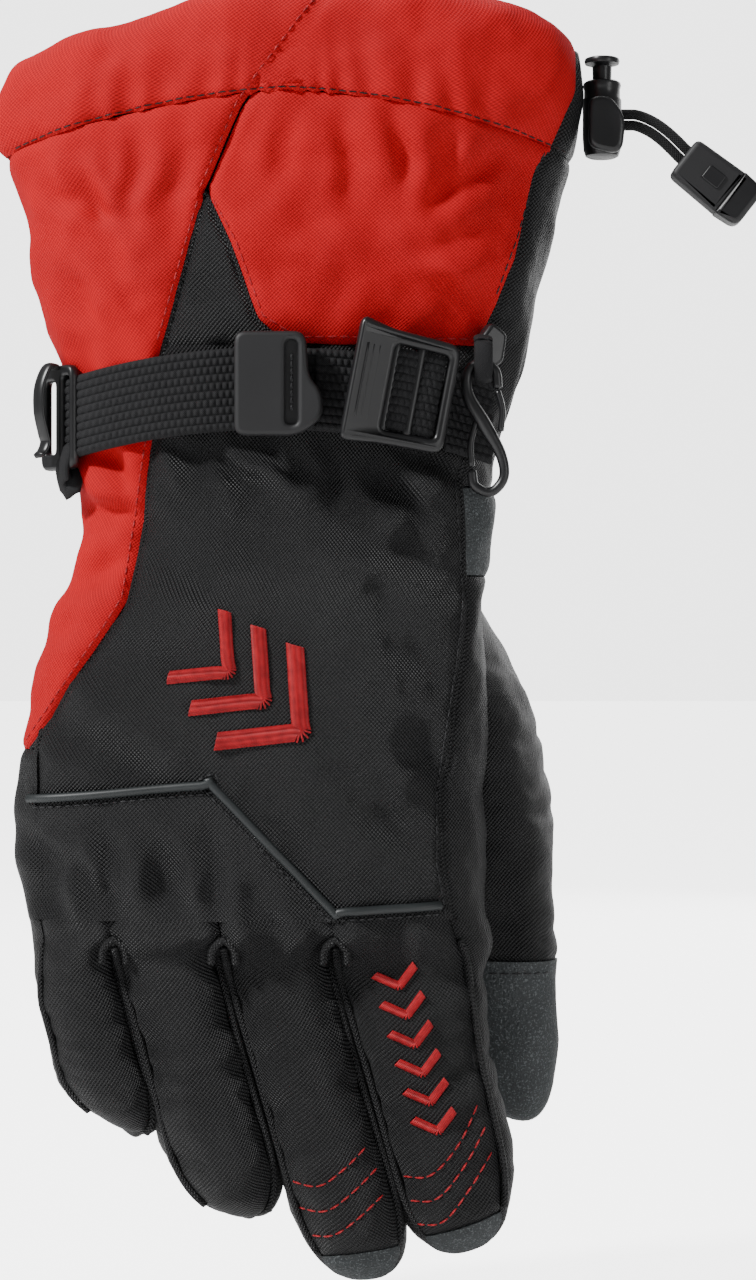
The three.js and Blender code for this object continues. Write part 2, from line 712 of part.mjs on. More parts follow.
// The button's spring stands on the floor of the well, below the stem.
const springTurns = 2.4;
const springPath = Array.from({ length: 20 }, (_, i) => {
  const angle = (i / 19) * springTurns * 2 * Math.PI;
  return [1.9 * Math.cos(angle), 1.9 * Math.sin(angle), WELL_FLOOR + 0.45 + (i / 19) * 3.2];
});
add("cord_lock_spring", tube(springPath, 0.28, { steps: 30, sides: 6 }), "spring", lock);

// The cords run through the lock and sag to the cord end. Both legs follow one route, one above the other.
const CORD_END = { x: 106.5, z: -46, turn: 38, length: 21, height: 12, depth: 8, socket: 6.5 };
const CORD_ROUTE = [
  [73.8, 0, -30],
  [79, 0, -30],
  [84.4, 0, -30],
  [86.5, 0, -30.1],
  [88.8, 0, -30.9],
  [91.2, 0, -32.2],
  [93.6, 0, -34],
  [96, 0, -36.2],
  [98.6, 0, -38.8],
  [102.6, 0, -42.1],
];
for (const [name, side] of [["upper", 1], ["lower", -1]]) {
  const half = CORD_SPACING / 2;
  const route = CORD_ROUTE.map(([x, y, z]) => {
    const turn = THREE.MathUtils.degToRad(CORD_END.turn) * THREE.MathUtils.clamp((x - 84.4) / 12, 0, 1);
    return [x + side * half * Math.sin(turn), y, z + side * half * Math.cos(turn)];
  });
  add(`drawcord_${name}_leg`, tube(route, CORD_RADIUS, { steps: 16, sides: 8 }), "cord");
}
const cordEnd = group(CORD_END.x, 0, CORD_END.z);
cordEnd.rotation.y = THREE.MathUtils.degToRad(CORD_END.turn);
const endOutline = roundedRectangle(CORD_END.length, CORD_END.height, 2.4);
const endBlock = plate(endOutline, CORD_END.depth);
const splitX = 4.6; // the end cap joins the body here
const socket = box(CORD_END.socket * 2, 4.4, 7.6, -CORD_END.length / 2, 0, 0);
add("cord_end_body", cut(endBlock, socket, box(20, 20, 30, splitX + 10, 0, 0)), "plastic", cordEnd);
add("cord_end_cap", cut(endBlock, box(40, 20, 30, splitX + 0.3 - 20, 0, 0)), "plastic", cordEnd);

// ---- Badge ----------------------------------------------------------------------------------------------------

// A plain embroidered double chevron on the back of the hand.
const badgeShape = new THREE.Shape();
badgeShape.moveTo(-15, 9);
badgeShape.lineTo(0, -4);
badgeShape.lineTo(15, 9);
badgeShape.lineTo(15, 3.5);
badgeShape.lineTo(0, -9.5);
badgeShape.lineTo(-15, 3.5);
badgeShape.closePath();
const BADGE = { x: -2, z: -170, turn: 38 };
const badge = group(BADGE.x, handPoint(BADGE.z, angleAt(BADGE.z, BADGE.x), -1.6).y, BADGE.z);
badge.rotation.y = THREE.MathUtils.degToRad(-BADGE.turn);
add("embroidered_badge", plate(badgeShape, 0.8), "embroidery", badge);

export default glove;
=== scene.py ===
import math

import bpy
import numpy as np
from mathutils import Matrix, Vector, noise
from mathutils.bvhtree import BVHTree


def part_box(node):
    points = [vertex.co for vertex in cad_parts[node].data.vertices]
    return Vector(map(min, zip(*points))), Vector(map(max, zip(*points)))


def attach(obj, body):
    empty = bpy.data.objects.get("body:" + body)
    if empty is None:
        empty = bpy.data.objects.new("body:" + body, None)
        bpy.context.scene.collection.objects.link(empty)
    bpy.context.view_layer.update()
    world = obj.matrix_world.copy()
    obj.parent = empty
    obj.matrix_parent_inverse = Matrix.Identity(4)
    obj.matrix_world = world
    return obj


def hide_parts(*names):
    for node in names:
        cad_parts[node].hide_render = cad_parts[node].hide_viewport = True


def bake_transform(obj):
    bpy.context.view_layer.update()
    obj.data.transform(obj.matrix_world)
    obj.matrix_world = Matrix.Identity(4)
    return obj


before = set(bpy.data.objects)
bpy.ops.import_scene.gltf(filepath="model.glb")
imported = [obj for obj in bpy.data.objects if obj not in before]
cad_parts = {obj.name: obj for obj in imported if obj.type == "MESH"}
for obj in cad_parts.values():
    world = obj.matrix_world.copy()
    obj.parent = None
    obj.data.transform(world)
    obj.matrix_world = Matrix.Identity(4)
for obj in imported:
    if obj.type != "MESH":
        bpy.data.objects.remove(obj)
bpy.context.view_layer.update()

MM = 0.001
STEP = 1.15  # spacing of the fabric's mesh
KNUCKLES = -237.0

# ---- Cross-sections ----

# Height, left edge, right edge, depth of the back half, depth of the palm half.
PROFILE = np.array(
    [
        (6, -61, 68, 19, 20),
        (0, -64, 70, 20.5, 21),
        (-12, -67, 72, 23, 24),
        (-22, -70, 72.2, 25, 25.5),
        (-32, -72, 71.5, 26, 26.5),
        (-42, -70, 69.5, 25.5, 26.5),
        (-52, -66.5, 66.8, 25.5, 26.5),
        (-62, -65, 65, 26, 27),
        (-72, -63.5, 62.5, 25.5, 26.5),
        (-82, -60.5, 60, 24.5, 25.5),
        (-92, -57, 57.5, 22.5, 24.5),
        (-102, -54, 54.5, 21.5, 24),
        (-112, -53, 51.5, 21.5, 24),
        (-122, -52.5, 50.5, 22, 23.5),
        (-132, -51, 50.5, 22, 23.5),
        (-142, -53, 50, 22.5, 24),
        (-152, -58, 48.5, 23, 24.5),
        (-164, -62.5, 48.5, 23, 24.5),
        (-176, -65.5, 48.5, 22.5, 24.5),
        (-190, -67.2, 48.8, 22, 24),
        (-215, -67.6, 48.6, 20.5, 22),
        (-230, -66.2, 48.4, 19, 20),
        (-245, -65, 49.5, 17, 18),
        (-262, -62, 51, 16, 17),
    ],
    float,
)
SQUARE = 2.4  # exponent of the hand's superellipse sections
FINGER_SQUARE = 2.2  # the same for the depth of the fingers and the thumb


def smooth_table(rows, step=0.5):
    """Catmull-Rom through rows of (height, values...), resampled finely and with heights rising."""
    rows = rows[np.argsort(rows[:, 0])]
    heights = np.arange(rows[0, 0], rows[-1, 0] + step / 2, step)
    slopes = np.gradient(rows[:, 1:], rows[:, 0], axis=0)
    i = np.clip(np.searchsorted(rows[:, 0], heights, side="right") - 1, 0, len(rows) - 2)
    width = (rows[i + 1, 0] - rows[i, 0])[:, None]
    t = ((heights - rows[i, 0]) / width[:, 0])[:, None]
    a, b = rows[i, 1:], rows[i + 1, 1:]
    ma, mb = slopes[i] * width, slopes[i + 1] * width
    t2, t3 = t * t, t * t * t
    values = (2 * t3 - 3 * t2 + 1) * a + (t3 - 2 * t2 + t) * ma + (3 * t2 - 2 * t3) * b + (t3 - t2) * mb
    return heights, values


PROFILE_HEIGHTS, PROFILE_VALUES = smooth_table(PROFILE)


def profile(z):
    z = np.asarray(z, float)
    return [np.interp(z, PROFILE_HEIGHTS, PROFILE_VALUES[:, k]) for k in range(4)]


def spow(v, p):
    return np.sign(v) * np.abs(v) ** p


def hand_point(z, degrees):
    """The hand's and gauntlet's surface. 0 degrees is the thumb's side, 90 the back and 270 the palm."""
    z = np.asarray(z, float)
    a = np.radians(degrees)
    left, right, back, palm = profile(z)
    depth = np.where(np.sin(a) > 0, back, palm)
    x = (left + right) / 2 + (right - left) / 2 * spow(np.cos(a), 2 / SQUARE)
    y = -depth * spow(np.sin(a), 2 / SQUARE)
    return np.stack(np.broadcast_arrays(x, y, z), -1)


def angle_at(z, x):
    """Angle at which the back reaches x."""
    left, right, _, _ = profile(z)
    share = np.clip((x - (left + right) / 2) / ((right - left) / 2), -1, 1)
    return np.degrees(np.arccos(spow(share, SQUARE / 2)))


def line(points, z):
    """Value on straight lines through (height, value) points that run downwards."""
    p = np.array(points, float)[::-1]
    return np.interp(z, p[:, 0], p[:, 1])


# ---- Seams ----

LEFT_SEAM = [
    (0, 11), (-30, -11), (-51, -20), (-90, -31), (-110, -33), (-150, -39), (-158, -44), (-187, -65)
]
RIGHT_SEAM = [(0, 11), (-30, -11), (-51, -20), (-64, -14), (-82, -7.5), (-88, 0)]
THUMB_SIDE_SEAM = [
    (0, 71), (-15, 71.3), (-24, 70), (-32, 67.6), (-40, 64.8), (-44, 62.5), (-62, 57.5), (-77, 52),
    (-90, 47), (-105, 44), (-120, 42.5)
]
HAND_SIDE_SEAM = [(-120, 42.5), (-150, 44.5), (-165, 43), (-197, 38), (-215, 38), (-232, 41)]
PIPING = [
    (-67, -199.5), (-48, -198), (-21, -195.5), (-17.5, -196.5), (10, -225.5), (14, -226.3), (42, -225)
]
BACK_LEFT = -62.0
LEFT_BOTTOM = -187.0


def piping_z(x):
    p = np.array(PIPING, float)
    return np.interp(x, p[:, 0], p[:, 1])


def rim_z(degrees):
    """The rim falls evenly towards the little finger's side, and late and steeply towards the thumb's."""
    cosine = np.cos(np.radians(degrees))
    return 0.5 - np.where(cosine < 0, 15.5 * np.abs(cosine) ** 1.4, 14.5 * np.abs(cosine) ** 5)


def hem_z(degrees):
    return -26.5 - 14 * np.abs(np.cos(np.radians(degrees))) ** 1.35


def side_seam(z):
    return np.where(np.asarray(z) > -120, line(THUMB_SIDE_SEAM, z), line(HAND_SIDE_SEAM, z))


# ---- Folds ----

# Creases on the back: x and z of both ends, depth, half width, and height of the ridge beside it.
CREASES = [
    (-62, -46, -40, -58, 1.1, 3.0, 0.9), (-52, -40, -46, -60, 0.8, 2.6, 0.6),
    (-36, -36, -38, -56, 0.7, 2.4, 0.6), (-24, -32, -30, -62, 0.6, 3.0, 0.6),
    (2, -31, -4, -50, 0.6, 2.6, 0.5), (14, -31, 16, -55, 0.8, 3.0, 0.6),
    (26, -32, 30, -50, 0.9, 2.8, 0.7), (40, -34, 36, -58, 0.9, 3.0, 0.7),
    (52, -40, 40, -52, 0.9, 2.6, 0.8), (50, -60, 30, -66, 0.8, 3.2, 0.7),
    (24, -70, 46, -80, 0.9, 3.4, 0.8), (-8, -66, 14, -78, 0.5, 4.0, 0.5),
    (-58, -70, -44, -84, 0.9, 3.2, 0.8), (-48, -62, -36, -80, 0.5, 3.2, 0.5),
    (-30, -111, -20, -122, 1.2, 2.4, 1.0), (-22, -112, -6, -126, 1.3, 2.6, 1.1),
    (-8, -112, 6, -120, 1.0, 2.4, 0.8), (8, -112, 12, -128, 1.0, 2.6, 0.8),
    (18, -116, 34, -132, 1.3, 3.0, 1.2), (28, -113, 44, -122, 1.2, 2.6, 1.0),
    (6, -130, 40, -142, 0.8, 3.6, 0.8), (-49, -112, -38, -124, 1.3, 2.6, 1.1),
    (-50, -126, -36, -132, 1.0, 2.8, 0.9), (-58, -150, -42, -140, 1.2, 3.2, 1.1),
    (-62, -162, -50, -152, 0.9, 3.2, 0.9), (-30, -140, -14, -152, 0.5, 4.2, 0.5),
    (20, -150, 40, -176, 0.8, 4.2, 0.8), (30, -182, 40, -200, 0.9, 3.6, 0.9),
    (-60, -178, -44, -190, 0.6, 4.2, 0.6), (-44, -186, -30, -197, 0.5, 3.6, 0.5),
    (-10, -196, 4, -217, 0.6, 3.4, 0.6), (16, -196, 34, -214, 0.7, 4.0, 0.7),
    (-64, -206, -55, -232, 1.2, 3.0, 1.0), (-56, -208, -46, -230, 0.8, 3.4, 0.8),
    (-46, -204, -42, -232, 0.9, 3.0, 0.8), (-34, -208, -24, -232, 0.8, 3.4, 0.8),
    (-20, -206, -17, -236, 1.0, 3.0, 0.8), (-8, -220, -2, -238, 0.7, 3.2, 0.7),
    (8, -229, 12, -240, 0.9, 2.8, 0.7), (24, -228, 28, -242, 0.6, 3.2, 0.6)
]
# Seam lines pressed into the fabric: points (x, z), depth and half width.
GROOVES = [
    ([(11, 0), (-11, -30), (-20, -51)], 0.7, 1.0), ([(x, z) for z, x in LEFT_SEAM[2:]], 0.5, 1.1),
    ([(x, z) for z, x in RIGHT_SEAM[2:]], 0.5, 1.1)
]


def segment_distance(x, z, x0, z0, x1, z1):
    dx, dz = x1 - x0, z1 - z0
    t = np.clip(((x - x0) * dx + (z - z0) * dz) / (dx * dx + dz * dz), 0, 1)
    across = ((x - x0) * dz - (z - z0) * dx) / math.hypot(dx, dz)
    return np.hypot(x - x0 - t * dx, z - z0 - t * dz), t, across


def noise_at(points, size, seed):
    """Smooth noise from -1 to 1 at points, with features of about size millimetres."""
    flat = points.reshape(-1, 3)
    shift = Vector((seed * 17.3, seed * 5.1, seed * 9.7))
    out = [noise.noise(Vector(p) / size + shift) for p in flat]
    return np.array(out).reshape(points.shape[:-1])


def creases(points, on_back):
    """Height that the folds add, in millimetres."""
    x, z = points[..., 0], points[..., 2]
    total = np.zeros(x.shape)
    for x0, z0, x1, z1, depth, width, ridge in CREASES:
        if not on_back:
            x0, x1, z0, z1 = -x0, -x1, z0 - 6, z1 - 6
        wander = 1.3 * np.sin(z * 0.35 + x0) + 0.9 * np.sin(x * 0.5 + z0)
        distance, t, across = segment_distance(x + wander * 0.6, z + wander * 0.4, x0, z0, x1, z1)
        fade = 0.15 + 0.85 * np.sin(math.pi * np.clip(t * 0.92 + 0.04, 0, 1))
        total -= 1.7 * depth * fade * np.exp(-((distance / width) ** 2))
        beside = np.hypot(np.abs(across) - width * 1.9, np.maximum(0, distance - np.abs(across)))
        total += ridge * 1.15 * fade * np.exp(-((beside / (width * 1.1)) ** 2))
    return total


def folds(points):
    """Height of the whole surface's softness: broad bulges, wrinkles, drawn creases and pressed seams."""
    x, y, z = points[..., 0], points[..., 1], points[..., 2]
    back_side = 1 / (1 + np.exp(np.clip(y / 2.5, -40, 40)))
    total = 1.7 * noise_at(points, 28, 1) + 1.2 * noise_at(points, 12, 2) + 0.3 * noise_at(points, 5, 3)
    total += back_side * creases(points, True) + (1 - back_side) * creases(points, False) * 0.8
    for path, depth, width in GROOVES:
        nearest = np.full(x.shape, 99.0)
        for (x0, z0), (x1, z1) in zip(path, path[1:]):
            nearest = np.minimum(nearest, segment_distance(x, z, x0, z0, x1, z1)[0])
        total -= back_side * depth * np.exp(-((nearest / width) ** 2))
    # The wrist is gathered by elastic, so small upright puckers run into the strap from both sides.
    gather = np.exp(-(((z + 100) / 16) ** 2))
    around = np.arctan2(y, x / 2.5)
    uneven = 0.6 + 0.4 * np.sin(around * 5 + 1)
    total += gather * 0.75 * np.sin(around * 23 + 1.5 * np.sin(z * 0.12)) * uneven
    return total


# ---- Materials ----


class Graph:
    """A material's nodes, with short calls for the few kinds used here."""

    def __init__(self, name, **fixed):
        self.material = bpy.data.materials.new(name)
        self.material.use_nodes = True
        self.tree = self.material.node_tree
        self.shader = self.tree.nodes["Principled BSDF"]
        for key, value in fixed.items():
            self.shader.inputs[key.replace("_", " ")].default_value = value

    def node(self, kind, links=(), **settings):
        made = self.tree.nodes.new(kind)
        for key, value in settings.items():
            setattr(made, key, value)
        for socket, source in dict(links).items():
            if hasattr(source, "links"):
                self.tree.links.new(source, made.inputs[socket])
            else:
                made.inputs[socket].default_value = source
        return made

    def math(self, operation, *values):
        return self.node("ShaderNodeMath", dict(enumerate(values)), operation=operation).outputs[0]

    def uv(self):
        split = self.node("ShaderNodeSeparateXYZ", {0: self.node("ShaderNodeUVMap").outputs[0]})
        return split.outputs[0], split.outputs[1]

    def place(self):
        return self.node("ShaderNodeTexCoord").outputs["Object"]

    def noise(self, scale, detail=2.0, rough=0.5):
        links = {"Vector": self.place(), "Scale": scale, "Detail": detail, "Roughness": rough}
        return self.node("ShaderNodeTexNoise", links).outputs["Fac"]

    def ramp(self, value, *stops):
        made = self.node("ShaderNodeValToRGB", {0: value})
        points = made.color_ramp.elements
        while len(points) < len(stops):
            points.new(0.5)
        for point, (at, colour) in zip(points, stops):
            point.position = at
            point.color = (*colour, 1)
        return made.outputs[0]

    def mix(self, factor, a, b, blend="MIX"):
        made = self.node("ShaderNodeMix", data_type="RGBA", blend_type=blend)
        for socket, source in ((0, factor), (6, a), (7, b)):
            if hasattr(source, "links"):
                self.tree.links.new(source, made.inputs[socket])
            else:
                made.inputs[socket].default_value = source if socket == 0 else (*source, 1)
        return made.outputs[2]

    def bump(self, height, distance, strength=1.0, under=None):
        links = {"Height": height, "Distance": distance, "Strength": strength}
        if under is not None:
            links["Normal"] = under
        return self.node("ShaderNodeBump", links).outputs[0]

    def finish(self, colour=None, roughness=None, normal=None):
        for socket, source in (("Base Color", colour), ("Roughness", roughness), ("Normal", normal)):
            if source is not None:
                self.tree.links.new(source, self.shader.inputs[socket])
        return self.material


TURN = 2 * math.pi


def woven(name, light, dark, pitch=0.62, relief=0.00009, sheen=0.06, roughness=0.8, slub=0.35, gloss=0.25):
    """Plain-woven pack cloth. UV coordinates are millimetres along the threads. Its colour runs from dark
    in the gaps between threads to light on their raised crossings: painted shade and painted highlight on
    the weave, over a random cloudy tone.
    """
    g = Graph(name, Sheen_Weight=sheen, Sheen_Roughness=0.45, Specular_IOR_Level=gloss)
    u, v = g.uv()
    wobble = g.math("MULTIPLY", g.noise(900.0, 1.0), slub)
    across = g.math("SINE", g.math("ADD", g.math("MULTIPLY", u, TURN / pitch), wobble))
    along = g.math("SINE", g.math("MULTIPLY", v, TURN / pitch))
    weave = g.math("MULTIPLY_ADD", g.math("MULTIPLY", across, along), 0.5, 0.5)
    diagonal = g.math("SINE", g.math("MULTIPLY", g.math("ADD", u, v), TURN / (pitch * 2)))
    height = g.math("MULTIPLY_ADD", diagonal, 0.05, weave)
    cloud = g.noise(38.0, 3.0, 0.55)
    # Painted highlight and painted shade: the weave's relief also sets the colour, lighter on raised
    # threads and darker between them; the cloud adds random tone.
    tone = g.math("ADD", g.math("MULTIPLY", height, 0.72), g.math("MULTIPLY", cloud, 0.45))
    colour = g.ramp(tone, (0.25, dark), (1.0, light))
    rough = g.math("MULTIPLY_ADD", cloud, 0.12, roughness - 0.06)
    soft = g.bump(g.noise(260.0, 3.0), 0.00025, 0.5)
    return g.finish(colour, rough, g.bump(height, relief, 1.0, soft))


def leather(name, base, fleck, roughness=0.62):
    g = Graph(name, Specular_IOR_Level=0.4)
    cells = g.node("ShaderNodeTexVoronoi", {"Vector": g.place(), "Scale": 1500.0}).outputs["Distance"]
    grain = g.noise(700.0, 4.0, 0.7)
    specks = g.math("GREATER_THAN", g.noise(2100.0, 1.0), 0.61)
    colour = g.mix(
        g.math("MULTIPLY", specks, 0.5), g.ramp(grain, (0.3, [c * 0.6 for c in base]), (0.7, base)), fleck
    )
    normal = g.bump(g.math("ADD", cells, g.math("MULTIPLY", grain, 1.4)), 0.00022, 0.8)
    return g.finish(colour, g.math("MULTIPLY_ADD", grain, 0.2, roughness - 0.1), normal)


def moulded(name, colour, roughness, bump=0.00004, scale=1800.0):
    g = Graph(name, Specular_IOR_Level=0.5)
    grain = g.noise(scale, 2.0)
    wear = g.noise(60.0, 4.0, 0.6)
    tone = g.ramp(wear, (0.3, [c * 0.85 for c in colour]), (0.75, [min(1, c * 1.25) for c in colour]))
    return g.finish(tone, g.math("MULTIPLY_ADD", wear, 0.18, roughness - 0.09), g.bump(grain, bump, 0.6))


def thread(name, colour, twist=0.55):
    """Sewing thread or satin stitch, with fine strands across it."""
    g = Graph(name, Sheen_Weight=0.04, Sheen_Roughness=0.3, Specular_IOR_Level=0.3)
    u, v = g.uv()
    strand = g.math("SINE", g.math("MULTIPLY", g.math("ADD", u, g.math("MULTIPLY", v, 0.4)), TURN / twist))
    tone = g.math("MULTIPLY_ADD", strand, 0.25, g.noise(500.0, 2.0))
    pale = [min(1, c * 1.35 + 0.01) for c in colour]
    return g.finish(
        g.ramp(tone, (0.2, [c * 0.6 for c in colour]), (0.8, pale)), None, g.bump(strand, 0.00008, 0.8)
    )


# Each cloth's two colours are the painted highlight on its raised threads and the painted shade between
# them; the black cloth's wide gap between the two makes strong painted glints.
RED = woven(
    "red_pack_cloth", (0.6, 0.0008, 0.0055), (0.3, 0.0004, 0.003), pitch=0.92, relief=0.00012, sheen=0.0,
    slub=0.5
)
BLACK = woven(
    "black_pack_cloth", (0.024, 0.024, 0.0255), (0.0006, 0.0006, 0.0008), pitch=1.05, relief=0.0006,
    sheen=0.0, roughness=0.46, gloss=0.3
)
LEATHER = leather("grey_speckled_leather", (0.03, 0.035, 0.037), (0.14, 0.155, 0.16))
FLEECE = woven(
    "black_fleece_lining", (0.045, 0.045, 0.048), (0.015, 0.015, 0.017), pitch=1.4, relief=0.0004,
    sheen=0.2
)
MATTE = moulded("matte_black_rubber", (0.008, 0.008, 0.009), 0.58, 0.00003)
GLOSS = moulded("satin_black_acetal", (0.007, 0.007, 0.0078), 0.36, 0.00001, 900.0)
CORD = woven("braided_elastic", (0.02, 0.02, 0.021), (0.003, 0.003, 0.0035), pitch=0.7, relief=0.0002)
WEBBING = woven(
    "black_webbing", (0.026, 0.026, 0.028), (0.003, 0.003, 0.0034), pitch=0.48, relief=0.0001, sheen=0.0
)
PIPING_GREY = moulded("grey_piping", (0.013, 0.016, 0.0168), 0.5, 0.00003)
RED_THREAD = thread("red_thread", (0.42, 0.004, 0.01))
BLACK_THREAD = thread("black_thread", (0.02, 0.02, 0.022))
DARK_RED_THREAD = thread("dark_seam_thread", (0.02, 0.004, 0.004))
WADDING = woven(
    "polyester_wadding", (0.62, 0.61, 0.59), (0.42, 0.41, 0.4), pitch=2.6, relief=0.0004, sheen=0.2
)
MEMBRANE = moulded("waterproof_film", (0.5, 0.53, 0.56), 0.4, 0.00002, 900.0)
STEEL = Graph("spring_steel", Metallic=1.0, Roughness=0.35, Base_Color=(0.55, 0.55, 0.56, 1)).material

# ---- Meshes ----


def new_object(name, vertices, faces, material, uvs=None, smooth=True):
    """A mesh object from millimetre vertices. uvs gives one UV for each vertex."""
    mesh = bpy.data.meshes.new(name)
    faces = faces.tolist() if hasattr(faces, "tolist") else faces
    mesh.from_pydata((np.asarray(vertices, float) * MM).tolist(), [], faces)
    if uvs is not None:
        layer = mesh.uv_layers.new(name="UVMap")
        index = np.empty(len(mesh.loops), np.int32)
        mesh.loops.foreach_get("vertex_index", index)
        layer.data.foreach_set("uv", np.asarray(uvs, np.float32)[index].ravel())
    mesh.materials.append(material)
    mesh.polygons.foreach_set("use_smooth", [smooth] * len(mesh.polygons))
    mesh.update()
    made = bpy.data.objects.new(name, mesh)
    bpy.context.scene.collection.objects.link(made)
    return made


def grid_normals(grid, wrapped):
    down = np.gradient(grid, axis=0)
    if wrapped:
        across = (np.roll(grid, -1, 1) - np.roll(grid, 1, 1)) / 2
    else:
        across = np.gradient(grid, axis=1)
    normal = np.cross(across, down)
    return normal / np.maximum(np.linalg.norm(normal, axis=-1, keepdims=True), 1e-9)


def place_piece(made, body=None, nodes=()):
    """Says which body the piece rides on, which CAD nodes it replaces."""
    if body:
        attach(made, body)
    if nodes:
        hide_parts(*nodes)
    return made


def out_facing(normal, outward):
    """Normals turned to the side that outward points to."""
    return np.where((normal * outward).sum(-1, keepdims=True) < 0, -normal, normal)


def level_normals(grid, wrapped=False):
    """Normals that point away from the frame's upright axis."""
    return out_facing(grid_normals(grid, wrapped), grid * (1, 1, 0))


def run_along(points):
    """Running length at each point of a path."""
    return np.concatenate([[0], np.cumsum(np.linalg.norm(np.diff(points, axis=0), axis=1))])


def lengths(grid, axis):
    """Running length along each row (axis 1) or column (axis 0)."""
    steps = np.linalg.norm(np.diff(grid, axis=axis), axis=-1)
    first = np.zeros_like(steps[:, :1] if axis == 1 else steps[:1])
    return np.concatenate([first, np.cumsum(steps, axis=axis)], axis)


def section_lengths():
    """Angle round a middling section of the hand, and the length of cloth from its first angle to each."""
    t = np.radians(np.linspace(CLOTH_CUT, CLOTH_CUT + 360, 721))
    x, y = 60 * spow(np.cos(t), 2 / SQUARE), 23 * spow(np.sin(t), 2 / SQUARE)
    run = np.concatenate([[0], np.cumsum(np.hypot(np.diff(x), np.diff(y)))])
    return np.degrees(np.unwrap(np.arctan2(y / 23, x / 60))), run


CLOTH_CUT = -50  # the angle at which the cloth's own coordinates start and end
SECTION_ANGLES, SECTION_RUN = section_lengths()


def cloth_uv(grid):
    """Threads that run level and upright all over the hand and gauntlet, in millimetres."""
    left, right, back, palm = profile(grid[..., 2])
    depth = np.where(grid[..., 1] < 0, back, palm)
    across = (grid[..., 0] - (left + right) / 2) / ((right - left) / 2)
    angle = np.degrees(np.arctan2(-grid[..., 1] / depth, across))
    angle = (angle - CLOTH_CUT) % 360 + CLOTH_CUT
    return np.interp(angle, SECTION_ANGLES, SECTION_RUN), -grid[..., 2]


INSIDE_UV = 37.0  # sets the weave on a panel's inside apart from the outside's


def slab_faces(rows, columns, wrapped=False):
    """The front faces of a slab whose front and back are grids of points, and all its faces."""
    number = np.arange(rows * columns).reshape(rows, columns)
    if wrapped:
        number = np.concatenate([number, number[:, :1]], 1)
    a, b, c, d = number[:-1, :-1], number[1:, :-1], number[1:, 1:], number[:-1, 1:]
    front = np.stack([a, b, c, d], -1).reshape(-1, 4)
    back = rows * columns
    edges = [number[0], number[-1][::-1]]
    if not wrapped:
        edges += [number[:, 0][::-1], number[:, -1]]
    sides = [np.stack([e[1:], e[1:] + back, e[:-1] + back, e[:-1]], -1)[:, ::-1] for e in edges]
    return front, np.concatenate([front, front[:, ::-1] + back, *sides])


def shell(
    name, grid, material, thick=1.2, wrapped=False, roll=0.8, roll_width=1.3, rolled="tblr", outward=None,
    lift=None, uvs=None,
):
    """A cloth panel: a grid of points with thickness, whose cut edges are turned in where it is sewn.

    rolled says which of its top, bottom, left and right edges are turned in."""
    rows, columns = grid.shape[:2]
    normal = grid_normals(grid, wrapped)
    middle = grid.reshape(-1, 3).mean(0) if outward is None else np.array(outward, float)
    radial = grid - middle
    radial[..., 2] = 0
    if (normal * radial).sum() < 0:
        normal = -normal
    u, v = lengths(grid, 1), lengths(grid, 0)
    far = np.full(grid.shape[:2], 99.0)
    for letter, distance in (("t", v), ("b", v[-1:] - v), ("l", u), ("r", u[:, -1:] - u)):
        if letter in rolled and not (wrapped and letter in "lr"):
            far = np.minimum(far, distance)
    height = -roll * np.exp(-((far / roll_width) ** 1.5))
    if lift is not None:
        height = height + lift
    outer = grid + normal * height[..., None]
    inner = outer - normal * thick
    vertices = np.concatenate([outer.reshape(-1, 3), inner.reshape(-1, 3)])
    front, faces = slab_faces(rows, columns, wrapped)
    corner = vertices[front[:, 0]]
    face_normal = np.cross(vertices[front[:, 1]] - corner, vertices[front[:, 2]] - corner)
    if (face_normal * normal.reshape(-1, 3)[front[:, 0]]).sum() < 0:
        faces = faces[:, ::-1]
    middle_column = u[:, columns // 2, None]
    uv = np.stack(uvs or [u - middle_column, v - v[:1]], -1).reshape(-1, 2)
    made = new_object(name, vertices, faces, material, np.concatenate([uv, uv + INSIDE_UV]))
    made.data.set_sharp_from_angle(angle=math.radians(50))
    return made


def count(length):
    return max(3, int(round(length / STEP)) + 1)


def polar_grid(top, bottom, first, last, length, girth, wrapped=False):
    """Points of the hand between two heights and two angles, each a number or a function of the other."""
    s = np.linspace(0, 1, count(length))[:, None]
    across = count(girth)
    t = (np.arange(across) / across if wrapped else np.linspace(0, 1, across))[None, :]
    call = lambda f, at: f(at) if callable(f) else np.full(np.shape(at), float(f))
    z = call(top, t) + (call(bottom, t) - call(top, t)) * s
    # The edges slant, so heights and angles are settled in turn.
    for _ in range(3):
        angle = call(first, z) + (call(last, z) - call(first, z)) * t
        z = call(top, angle) + (call(bottom, angle) - call(top, angle)) * s
    return hand_point(z, angle)


def folded(grid, wrapped=False):
    """The grid moved along its normals by the glove's folds."""
    return grid + level_normals(grid, wrapped) * folds(grid)[..., None]


def back_grid(top, bottom, left, right, length, girth):
    s = np.linspace(0, 1, count(length))[:, None]
    t = np.linspace(0, 1, count(girth))[None, :]
    x = BACK_LEFT + (42 - BACK_LEFT) * t + 0 * s
    for _ in range(3):
        z = top(x) + (bottom(x) - top(x)) * s
        x = left(z) + (right(z) - left(z)) * t
    return hand_point(z, angle_at(z, x))


root_fabric = []


def root_panel(name, grid, material, *nodes, slot="black_fabric", wrapped=False, **settings):
    cloth = folded(grid, wrapped)
    made = shell(name, cloth, material, wrapped=wrapped, outward=(0, 0, 0), uvs=cloth_uv(grid), **settings)
    place_piece(made, "root", nodes)
    root_fabric.append(made)
    return made


# ---- Gauntlet ----

HEM_END = 309  # angle on the palm side at which the red hem ends
CUFF_END = -122  # height at which the gauntlet's side and under panels end
PALM_TOP = -122.4
BACK_TOP = -88.2  # height of the seam between the gauntlet's inset and the back of the hand
LITTLE_SIDE, THUMB_SIDE = 206, -41  # angles at which the hand's side panels end
PALM_FROM, PALM_TO = 207, 318  # angles between which the palm lies


